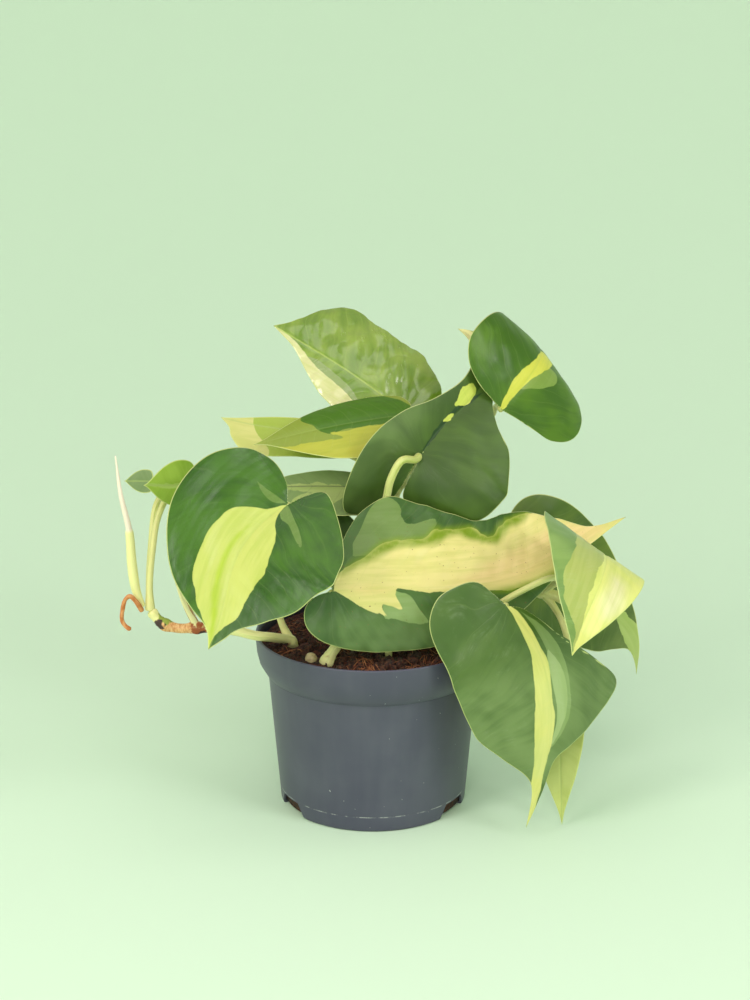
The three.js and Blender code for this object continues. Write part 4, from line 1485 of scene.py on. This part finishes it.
@dataclass(frozen=True)
class Studio:
    """The photo's view and light: a mint paper bowl, three soft lights in front and one above."""

    backdrop: str = "d6efd3"
    aim: Point = (1.0, 0.0, 159.3)
    distance: float = 1003.0
    pitch: float = 15.9
    lens: float = 72.0
    sensor: float = 36.0
    lamps: tuple[Lamp, ...] = (
        Lamp("left", (-1.05, -1.0, 1.15), 0.55, 9.2, "fff3f2"),
        Lamp("right", (1.15, -0.9, 1.15), 0.55, 7.6, "fbf2fa"),
        Lamp("front", (-0.1, -1.25, 0.8), 0.6, 5, "fff3f6"),
        Lamp("top", (0.1, -0.4, 1.9), 1.2, 6, "fff4f8", aim=(0.0, 0.0, 0.1)),
    )
    room: str = "fff4fb"
    room_strength: float = 0.47

    def camera(self) -> None:
        """Sets the camera to the photo's angle."""
        data = bpy.data.cameras.new("camera")
        data.lens = self.lens
        data.sensor_fit = "VERTICAL"
        data.sensor_height = self.sensor
        camera = linked("camera", data)
        pitch = math.radians(self.pitch)
        x, y, z = self.aim
        back, lift = self.distance * math.cos(pitch), self.distance * math.sin(pitch)
        camera.location = (x * METRES, (y - back) * METRES, (z + lift) * METRES)
        camera.rotation_euler = (math.pi / 2 - pitch, 0, 0)
        bpy.context.scene.camera = camera

    def sweep(self) -> None:
        """Lays the floor, a wide disc that curves up all round: a quarter turn, then a low wall."""
        middle, flat, bend, wall, segments = 300.0, 420.0, 1300.0, 200.0, 96
        arc = np.linspace(0, math.pi / 2, 32)
        radius = np.concatenate([[middle], flat + bend * np.sin(arc), [flat + bend]])[:, None]
        height = np.concatenate([[0.0], bend * (1 - np.cos(arc)), [bend + wall]])[:, None]
        around = np.arange(segments)
        angle = around * 2 * math.pi / segments
        ring = np.stack(np.broadcast_arrays(radius * np.cos(angle), radius * np.sin(angle), height), -1)
        points = np.concatenate([ring.reshape(-1, 3), np.zeros((1, 3))])
        centre = fan(len(points) - 1, around, (around + 1) % segments)
        faces = grid_quads(len(radius), segments, wrap=True)[:, ::-1].tolist() + centre.tolist()
        mesh = plain_mesh("sweep", points, faces)
        mesh.polygons.foreach_set("use_smooth", np.ones(len(mesh.polygons), bool))
        n = Nodes("mint studio paper")
        n.dress(Base_Color=self.backdrop, Roughness=0.9)
        mesh.materials.append(n.material)
        linked("sweep", mesh)

    def make(self) -> None:
        """Sets up camera, sweep, lamps and room light."""
        self.camera()
        self.sweep()
        for lamp in self.lamps:
            lamp.make()
        world = bpy.data.worlds.new("room")
        world.use_nodes = True
        room = world.node_tree.nodes["Background"]
        room.inputs["Color"].default_value = hex_colour(self.room)
        room.inputs["Strength"].default_value = self.room_strength
        bpy.context.scene.world = world
        bpy.context.scene.view_settings.view_transform = "Standard"


# The plant's own leaves
#
# Flat points are (u, v): u runs along the midrib from the stalk and v across it, left above nought.
# Each leaf's marks are listed from the lowest layer up.

LEAVES: tuple[Blade, ...] = (
    Blade(
        "leaf_front_left", at=(-41, -38, 168), turn=(-135, -36, -42), length=84, droop=(0, 3, 8, 10),
        sweep=(-20, 4, 26, 13), fold=((8,), (8,)), curl=((5,), (5,)),
        left=((0, 0), (-10, 1), (-19, 5), (-16, 19), (-9, 34), (-1, 43), (14, 47), (32, 46), (56, 37),
              (65, 22), (71, 10), (77, 5), (84, 0)),
        right=((0, 0), (-5, 9), (-6, 20), (-1, 30), (6, 37), (16, 42), (30, 41), (43, 34), (55, 26),
               (67, 15), (75, 5), (84, 0)),
        marks=(
            Mark("grey", "658139", (
                ((0, 0), (2, -5), (4, -11), (6, -18), (7, -12), (6, -5)),
                ((0, 0), (5, 1), (8, 5), (7, 9), (9, 15), (12, 23), (8, 21), (4, 15), (2, 8)),
            )),
            Mark("yellow", "c0c766", (
                ((0, 0), (6, -2), (10, -4), (14, -8), (21, -15), (27, -17), (34, -18), (42, -18),
                 (51, -18), (58, -15), (65, -12), (74, -6), (86, 0), (78, 0), (72, 3), (66, 8),
                 (59, 10), (52, 12), (42, 15), (30, 14), (17, 10), (12, 5), (7, 2)),
            )),
            Mark("crease", "b0c23c", (
                ((18, -3), (30, -6.5), (44, -7.5), (57, -7), (72, -4), (84, 0), (72, -1), (57, -3),
                 (44, -3.5), (30, -3.5)),
            ), fade=2.6),
        ),
        finish=LeafFinish("295107", "3f6a0e", rib_share=0.15, ragged=0.8, gloss=0.27, wax=0.38,
                          pleat=5.0, seed=1.0),
    ),
    Blade(
        "leaf_long_centre", at=(-19, -38, 124), turn=(12, 2, 52), length=165, droop=(0, 2, 4, 4, 10),
        sweep=(-2, -4, 6, 26, 26), twist=(0, 0, -6, -14, -22), fold=((-4,), (-18,)),
        curl=((0,), (-20, -20, -40, -60, -40)), quilt=0.2, wave=0.7, wave_size=34,
        left=((0, 0), (-3, 8), (4, 20), (11, 33), (19, 43), (32, 50), (49, 46), (68, 41), (87, 36),
              (107, 37), (122, 34), (135, 22), (146, 6), (165, 0)),
        right=((0, 0), (-9, 2), (-15, 8), (-14, 18), (-4, 26), (15, 31), (38, 31), (60, 28), (84, 21),
               (104, 11), (122, 4), (144, 2), (165, 0)),
        marks=(
            Mark("pale", "6f8947", (
                ((11, 17), (12, 24), (16, 32), (22, 44), (30, 50), (38, 44), (37, 40), (40, 35),
                 (50, 37), (58, 37), (55, 33), (50, 24), (34, 24), (18, 17)),
            )),
            Mark("grey", "86a060", (
                ((26, -1), (37, -3), (42, -10), (47, -17), (37, -17), (30, -15), (25, -15), (24, -6)),
            )),
            Mark("cream", "ddd386", (
                ((0, 0), (2, 7), (10, 14), (18, 18), (26, 24), (34, 26), (48, 26), (56, 32), (64, 32),
                 (80, 33), (83, 30), (86, 26), (92, 26), (98, 30), (113, 33), (128, 30), (138, 20),
                 (150, 6), (166, 1), (166, -2), (150, -3), (134, -5), (114, -6), (93, -6), (68, -4),
                 (42, -2), (30, -1), (34, -11), (29, -9), (23, -8), (27, -15), (22, -12), (16, -10),
                 (7, -4)),
            )),
            Mark("blush", "e6cf8c", (
                ((58, 2), (76, 10), (96, 16), (116, 19), (134, 17), (150, 5), (150, -2), (128, -3),
                 (96, -4), (74, -2)),
                ((4, 2), (16, 2), (30, 0), (24, -4), (12, -3)),
            ), fade=9.0),
            Mark("lime", "7a940f", (
                ((2, 8), (10, 16), (18, 20), (26, 26), (34, 28), (48, 28), (56, 34), (64, 34), (80, 35),
                 (86, 28), (92, 28), (98, 32), (113, 35), (128, 32), (120, 28), (104, 26), (92, 20),
                 (82, 22), (66, 27), (54, 22), (36, 21), (20, 14), (8, 8)),
                ((60, -5), (93, -8), (120, -8), (112, -4), (92, -4), (70, -3)),
            ), fade=6.0),
        ),
        # The sheen set here is a painted highlight: the broad light on the lower part of the right half.
        finish=LeafFinish("34561f", "48692c", rib_share=0.05,
                          painted_sheen=PaintedSheen(across=(-5.0, -22.0), share=0.2), ragged=1.3, speckle=0.7,
                          pleat=4.0, seed=2.0),
    ),
    Blade(
        "leaf_front_right", at=(65, -49, 120), turn=(-33, -61, 42), length=122,
        droop=(0, 10, 20, 24, 24), sweep=(20, -1, -19, -33, -39), fold=((-12,), (-5,)),
        curl=((-20,), (-10,)),
        left=((0, 0), (6, 5), (17, 10), (30, 17), (41, 29), (53, 42), (61, 35), (69, 23), (77, 12),
              (85, 4), (102, 2), (122, 0)),
        right=((0, 0), (-10, 1), (-19, 3), (-24, 11), (-26, 23), (-18, 35), (1, 42), (26, 45), (47, 44),
               (63, 41), (78, 35), (87, 23), (95, 8), (103, 3), (122, 0)),
        marks=(
            Mark("grey", "788e52", (
                ((6, 3), (20, 9), (32, 12), (45, 12), (60, 11), (71, 6), (78, 0), (61, 3), (43, 2),
                 (29, 4), (16, 4)),
            )),
            Mark("pale", "9aab74", (
                ((27, 5), (38, 9), (50, 10), (62, 8), (76, 1), (61, 3), (43, 2), (32, 3)),
            )),
            Mark("yellow", "d7d17a", (
                ((-3, 0), (4, 2), (15, 2), (25, 2), (32, 3), (41, 2), (52, 1), (62, 2), (76, 1),
                 (90, 0), (106, 1), (124, 0), (104, -4), (87, -6), (71, -8), (54, -8), (36, -6),
                 (26, -4), (15, -3), (4, -1)),
            )),
        ),
        # The sheen set here is a painted highlight: the greyish shine on the lower left of the blade.
        finish=LeafFinish("3e5b1e", "4d6828", rib_share=0.12, ragged=0.4,
                          painted_sheen=PaintedSheen(along=(12.0, 50.0), share=0.3), film=0.08, pleat=2.2, gloss=0.3,
                          wax=0.46, seed=3.0),
    ),
    Blade(
        "leaf_middle_dark", at=(25.3, 16, 180), turn=(42, 47, 35), length=88, droop=(0, 8, 10, -10),
        sweep=(0, -15, 25, 95), back=32, fold=((40,), (-5,)), curl=((-10,), (-25,)),
        left=((0, 0), (-10, 1), (-26, 3), (-36, 12), (-38, 25), (-26, 30), (-8, 29), (8, 22), (20, 15),
              (34, 12), (50, 10), (66, 8), (78, 4), (88, 0)),
        right=((0, 0), (-12, 0.5), (-25, 1), (-31, 9), (-31, 22), (-27, 35), (-17, 44), (0, 48),
               (14, 48), (25, 43), (33, 33), (37, 19), (45, 9), (62, 7), (76, 5), (88, 0)),
        marks=(
            # The dark strip along the midrib is painted shade: the shadow in the crease where the raised
            # left half folds up.
            Mark("dark", "25401c", (
                ((-2, 0), (12, 1.6), (28, 3), (38, 2), (48, -4), (37, -1), (26, 1), (12, -1)),
            )),
            Mark("yellow", "c9d05f", (
                ((46, 5), (44, 1), (35, 0), (29, 4), (38, 8)),
                ((19, 2), (24, 2.4), (26, 1), (22, -1)),
            )),
            Mark("cream", "e6dfa0", (
                ((78, -4), (76, 4), (83, 4), (90, 0)),
            )),
        ),
        # The sheen set here paints light onto the left half, which the lamps leave in shade.
        finish=LeafFinish("39521a", "486320", rib="5c7a3c", rib_share=0.1, gloss=0.4,
                          painted_sheen=PaintedSheen(across=(3.0, 22.0), share=0.2), seed=4.0),
    ),
    Blade(
        "leaf_top", at=(15, 52, 193), turn=(165, 36, -50), length=86, droop=(0, 10, 20, 20),
        fold=((-5,), (0,)), curl=((-10,), (-30,)), quilt=0.3, wave=0.6, wave_size=24,
        left=((0, 0), (-6, 6), (-4, 14), (8, 20), (22, 22), (34, 20), (42, 18), (53, 13), (68, 5),
              (78, 2), (86, 0)),
        right=((0, 0), (-6, 3), (-10, 9), (-12, 19), (-6, 28), (4, 34), (15, 38), (26, 36), (40, 36),
               (54, 38), (64, 35), (72, 24), (79, 9), (86, 0)),
        marks=(
            # The grey strip is a painted highlight: a silvery shine along the inner side of the cream
            # margin.
            Mark("grey", "8d9f62", (
                ((62, 6), (52, 8), (44, 9), (34, 10), (27, 11), (20, 11), (28, 7), (40, 5), (54, 4)),
            )),
            Mark("cream", "d1d095", (
                ((87, 0), (76, 0), (64, 3), (56, 6), (48, 8), (38, 9), (26, 11), (14, 15), (20, 26),
                 (44, 24), (60, 15), (78, 6)),
            )),
        ),
        finish=LeafFinish("688826", "88a13c", rib="a9bd58", rib_share=0.6, veins=0.25, ragged=0.5,
                          gloss=0.18, wax=0.9, crinkle=16.0, seed=5.0),
    ),
    Blade(
        "leaf_upper_right", at=(66, 34, 197.5), turn=(26, 41, 80), length=90, droop=(0, 28, 90, 115),
        curl=((-15,), (-15,)),
        left=((0, 0), (0, 8), (1, 20), (6, 31), (16, 38), (30, 38), (45, 33), (60, 23), (72, 12),
              (82, 4), (90, 0)),
        right=((0, 0), (3, 10), (6, 22), (10, 34), (20, 43), (34, 43), (50, 34), (64, 22), (78, 8),
               (90, 0)),
        marks=(
            Mark("pale", "7f9644", (
                ((40, -7), (40, -14), (34, -15), (25, -10), (19, -4), (15, 0), (24, -1), (34, -3)),
            )),
            Mark("yellow", "cbc94e", (
                ((0, 2), (6, 4), (14, 6), (22, 6), (34, 3), (48, -1), (48, -9), (40, -8), (30, -4),
                 (20, -1), (10, 0), (0, 0)),
            )),
        ),
        finish=LeafFinish("395d0a", "507412", rib_share=0.1, ragged=1.0, seed=6.0),
    ),
    Blade(
        "leaf_right_folded", at=(115, -14, 133.8), turn=(-92, 26, -28), length=90,
        droop=(0, 32, 77, 46), sweep=(0, 10, 14, 13), fold=((-1,), (4, 22)),
        curl=((-10, -3, -7), (8, -14, 2)),
        left=heart(90, 22, 3), right=heart(90, 37, 4),
        marks=(
            Mark("pale", "adb565", (
                ((-6, -4), (0, -12), (13, -18), (30, -18), (54, -20), (66, -14), (76, -3), (88, -1),
                 (80, 4), (46, 4), (0, 4)),
            )),
            Mark("yellow", "d7d97b", (
                ((-8, -1), (28, -2), (46, -4), (60, -3), (74, 0), (88, -1), (98, 0), (84, 26), (45, 32),
                 (10, 32), (-10, 20)),
            )),
            Mark("blush", "d9d49f", (
                ((34, 2), (54, 2), (64, 8), (56, 16), (38, 14)),
            ), fade=9.0),
        ),
        finish=LeafFinish("718f48", "88a459", rib_share=0.1, ragged=1.4, gloss=0.32, film=0.1,
                          seed=7.0),
    ),
    Blade(
        "leaf_upper_left", at=(16, 36, 194.5), turn=(-160, -2, -38), length=80, droop=(0, 5, 10, 10),
        curl=((0,), (-40,)),
        left=heart(80, 24, 6), right=heart(80, 18, 6),
        marks=(
            Mark("dark", "446e08", (
                ((56, -20), (44, -24), (32, -24), (18, -24), (4, -16), (-6, -4), (0, 0), (8, 6),
                 (18, 4), (33, 4), (42, 4), (46, 1), (48, -3), (53, -8), (52, -13)),
            )),
            Mark("yellow", "aeb038", (
                ((41, 4), (25, 4), (6, 6), (4, 20), (22, 28), (44, 24), (66, 14), (78, 3), (66, 6),
                 (54, 7), (44, 8), (36, 8)),
            )),
        ),
        finish=LeafFinish("829432", "8d9a37", rib_share=0.1, ragged=1.2, seed=8.0),
    ),
    Blade(
        "leaf_far_left", at=(-20, 42, 180), turn=(-174, 14, -54), length=60, droop=(0, 5, 8, -10),
        left=((0, 0), (-5, 3), (-7, 7), (-3, 10), (6, 12), (20, 14), (34, 16), (46, 15), (53, 9),
              (55, 4), (60, 0)),
        right=((0, 0), (-5, 3), (-6, 6), (-2, 8), (6, 9), (20, 8), (34, 6), (44, 4), (52, 2), (60, 0)),
        marks=(
            Mark("cream", "cac87a", (
                ((62, -6), (44, -6), (42, 2), (38, 7), (33, 12), (34, 20), (50, 19), (58, 10)),
            )),
        ),
        finish=LeafFinish("9aae41", "a3b54b", ragged=0.8, seed=9.0),
    ),
    Blade(
        "leaf_left_behind", at=(-7, 31.5, 157), turn=(-168, 7, -32), length=62, droop=(0, 5, 10, 15),
        left=heart(62, 20, 6), right=heart(62, 11, 4),
        marks=(
            Mark("pale", "b0c078", (
                ((0, 2), (14, 12), (30, 18), (36, 10), (26, 4), (40, 3), (52, 0), (30, -2), (10, -1)),
            )),
        ),
        finish=LeafFinish("829a5e", "8da368", rib="5a6248", rib_share=0.6, veins=0.35, ragged=3.0,
                          gloss=0.42, seed=10.0),
    ),
    Blade(
        "leaf_small_inner", at=(-17, 15, 120), turn=(150, 74, -39), length=40, droop=(0, 10, 20, 30),
        left=heart(40, 17, 6), right=heart(40, 17, 6),
        finish=LeafFinish("3a5222", "45602a", gloss=0.5, seed=11.0),
    ),
    Blade(
        "leaf_right_behind", at=(74, 28, 124), turn=(0, -33, 67), length=112, droop=(0, 34, 16, 6, -4),
        sweep=(0, 4, 4, -17, -67),
        left=((0, 0), (-7, 4), (-12, 14), (-10, 26), (0, 34), (19, 37), (47, 34), (63, 25), (76, 15),
              (85, 9), (92, 5), (104, 1), (112, 0)),
        right=((0, 0), (-7, 3), (-12, 13), (-9, 24), (-1, 31), (14, 34), (35, 33), (53, 28), (73, 24),
               (86, 19), (93, 11), (97, 4), (104, 1.5), (112, 0)),
        marks=(
            Mark("pale", "a8ba66", (
                ((72, 4), (82, 6), (96, 8), (112, 1), (100, -3), (86, -3)),
            )),
        ),
        # The sheen set here is a painted highlight: the lighter, lit lower part of the blade towards its
        # tip.
        finish=LeafFinish("425b1a", "5c7121", gloss=0.38, painted_sheen=PaintedSheen(along=(50.0, 95.0), share=0.2),
                          seed=12.0),
    ),
    Blade(
        "leaf_right_hanging", at=(94, -20, 78), turn=(-95, -72, 30), length=80, droop=(0, 5, 5, 5),
        left=heart(80, 15, 5), right=heart(80, 18, 6),
        finish=LeafFinish("b4bf62", "c9d07e", gloss=0.42, seed=13.0),
    ),
    Blade(
        "leaf_vine_end", at=(-92.9, 0, 167), turn=(-134, 10, -88), length=26, droop=(0, 6, 10, 10),
        left=heart(26, 10.5, 5), right=heart(26, 13, 5),
        marks=(
            Mark("pale", "a3bc5c", (
                ((20, 1), (12, 1.5), (4, 1), (4, -1), (12, -1), (24, -1), (27, 0)),
            )),
        ),
        finish=LeafFinish("84a530", "9ab845", gloss=0.34, seed=14.0),
    ),
    Blade(
        "leaf_vine_small", at=(-112.9, 12, 165.8), turn=(148, -8, -76), length=17,
        left=heart(17, 6, 2), right=heart(17, 6, 2),
        finish=LeafFinish("6f8554", "809364", gloss=0.44, seed=15.0),
    ),
)


# The plant's own stems

LEFT_VINE_SKIN = StemFinish(
    cork="c98850", cork_light="edc28c",
    scars=(
        Scar((-104.0, -15.0, 102.6), 4.6, "93a244"),
        Scar((-107.8, -18.0, 99.0), 3.4, "46332f"),
        Scar((-87.0, -18.5, 97.0), 5.2, "9a5028"),
        Scar((-85.5, -19.5, 95.5), 2.6, "3c1f16"),
    ),
)

VINES: tuple[Vine, ...] = (
    Vine(
        "vine_left", 2.4,
        path=((-36, -2, 71), (-39, -5, 79), (-42, -8, 87), (-50, -16, 92), (-59, -20, 94.5),
            (-68, -20.5, 97), (-78, -19.5, 98), (-88, -18, 98), (-98, -16, 97), (-106, -15, 99.5),
            (-112, -14, 106)),
        nodes=((-42, -8, 87), (-88, -18, 98), (-104, -15.5, 98.5), (-112, -14, 106)),
        sheath=((-88, -18, 98), (-94, -16.5, 110), (-99.5, -14.5, 125)),
        cork=((67, 95),), finish=LEFT_VINE_SKIN,
        stalks=(
            Stalk("leaf_front_left", (-42, -8, 87), ((-47, -4, 97), (-50, 0, 115), (-48, -3, 138))),
            Stalk("leaf_vine_end", (-112, -14, 106),
                  ((-112, -13, 118), (-110.5, -9, 135), (-107.5, -1, 152))),
            Stalk("leaf_vine_small", (-112, -14, 106),
                  ((-112.8, -6, 120), (-112, 2, 137), (-110.5, 10, 152))),
        ),
    ),
    Vine(
        "vine_middle", 2.7,
        path=((-27, -37, 71), (-24, -35, 84), (-17, -32, 95), (-9, -25, 104), (-2, -14, 111)),
        nodes=((-24, -35, 87), (-9, -25, 104)),
        stalks=(
            Stalk("leaf_long_centre", (-9, -25, 104), ((-12, -23, 112),)),
        ),
    ),
    Vine(
        "vine_right", 2.7,
        path=((13, 5, 71), (16, 4, 84), (24, 6, 97), (38, 8, 106), (54, 9, 110), (70, 7, 111),
            (86, 3, 110), (98, 0, 107)),
        nodes=((24, 6, 97), (54, 9, 110), (86, 3, 110), (98, 0, 107)),
        stalks=(
            Stalk("leaf_front_right", (86, 3, 110), ((93, -6, 118), (92, -18, 124), (84, -30, 127))),
            Stalk("leaf_right_folded", (98, 0, 107), ((106, -1, 110), (112, -2, 118))),
            Stalk("leaf_right_hanging", (86, 3, 110), ((92, 0, 103), (97, -8, 94))),
            Stalk("leaf_right_behind", (38, 8, 106), ((46, 26, 103), (62, 41, 109))),
        ),
    ),
    Vine(
        "vine_back", 2.7,
        path=((0, 26, 71), (2, 25, 84), (5, 22, 104), (6, 19, 126), (8, 18, 146), (14, 24, 162),
            (24, 34, 173), (37, 44, 177), (50, 51, 181)),
        nodes=((5, 22, 104), (6, 19, 126), (8, 18, 146), (14, 24, 162), (24, 34, 173), (50, 51, 181)),
        stalks=(
            Stalk("leaf_middle_dark", (6, 19, 135),
                  ((5, 8, 150), (6.8, 3.2, 160), (9, -1.5, 171), (14, -1.5, 180)),
                  reach=(-0.8, 0.75), radius=2.1, green=0.8),
            Stalk("leaf_upper_right", (50, 51, 181), ((61, 55, 188),), reach=(0.2, -1)),
            Stalk("leaf_upper_left", (14, 24, 162), ((17, 30, 176),)),
            Stalk("leaf_top", (24, 34, 173), ((22, 48, 180),)),
            Stalk("leaf_far_left", (8, 18, 146), ((8, 34, 157), (-4, 50, 165))),
            Stalk("leaf_left_behind", (6, 19, 126), ((4, 24, 140),)),
            Stalk("leaf_small_inner", (5, 22, 104), ((-2, 25, 112),)),
        ),
    ),
)


STUBS = (
    LooseStem(
        "stem_stub_brown", ((-30, -30, 74), (-30.5, -30, 81), (-31, -30, 89)), (3.4, 3.2),
        brown=0.45, knobs=0.12, finish=StemFinish("cdb98e", "b3a470", cork="7c5a3a", cork_light="a9855a"),
    ),
    LooseStem("stem_stub_green", ((7, -25, 74), (7.5, -25, 82), (8, -25, 90)), (1.8, 1.8)),
)

NEW_SHOOT = LooseStem(
    "new_shoot",
    ((-115.4, -15.1, 107.6), (-118.4, -15, 117), (-120, -14.5, 130), (-121, -14, 148),
     (-124.5, -14, 166), (-126.5, -14, 186)),
    (1.7, 2.5, 2.3, 1.9, 1.3, 0.5), ridge=0.06, ridges=1, joint=0.5,
    finish=StemFinish("eeeaa6", "dfe39a", gloss=0.34),
)

AERIAL_ROOT = LooseStem(
    "aerial_root",
    ((-115.3, -17.8, 106.3), (-118.2, -19.8, 112.4), (-121, -20.2, 115.2), (-123.2, -20.4, 113.7),
     (-124.8, -20.7, 108.4), (-125.2, -21, 102.7), (-123.2, -21.3, 99.6), (-120.8, -21.6, 98)),
    (1.3, 1.25, 1.1, 1.1, 1.0, 1.2), "root", brown=1.2, knobs=0.08,
    finish=StemFinish(cork="bd6e38", cork_light="dd9c66", gloss=0.42, ringed=0.25),
)


def main() -> None:
    """Makes the plant, its pot and the studio."""
    pot = Pot()
    pot.make()
    PottingMix(pot).make(VINES, STUBS)
    blades = {blade.name: blade for blade in LEAVES}
    for vine in VINES:
        vine.make(blades)
    for stem in (*STUBS, NEW_SHOOT, AERIAL_ROOT):
        stem.make()
    for blade in LEAVES:
        blade.make()
    Studio().make()


if __name__ == "__main__":
    logging.basicConfig(level=logging.INFO, format="%(message)s")
    main()
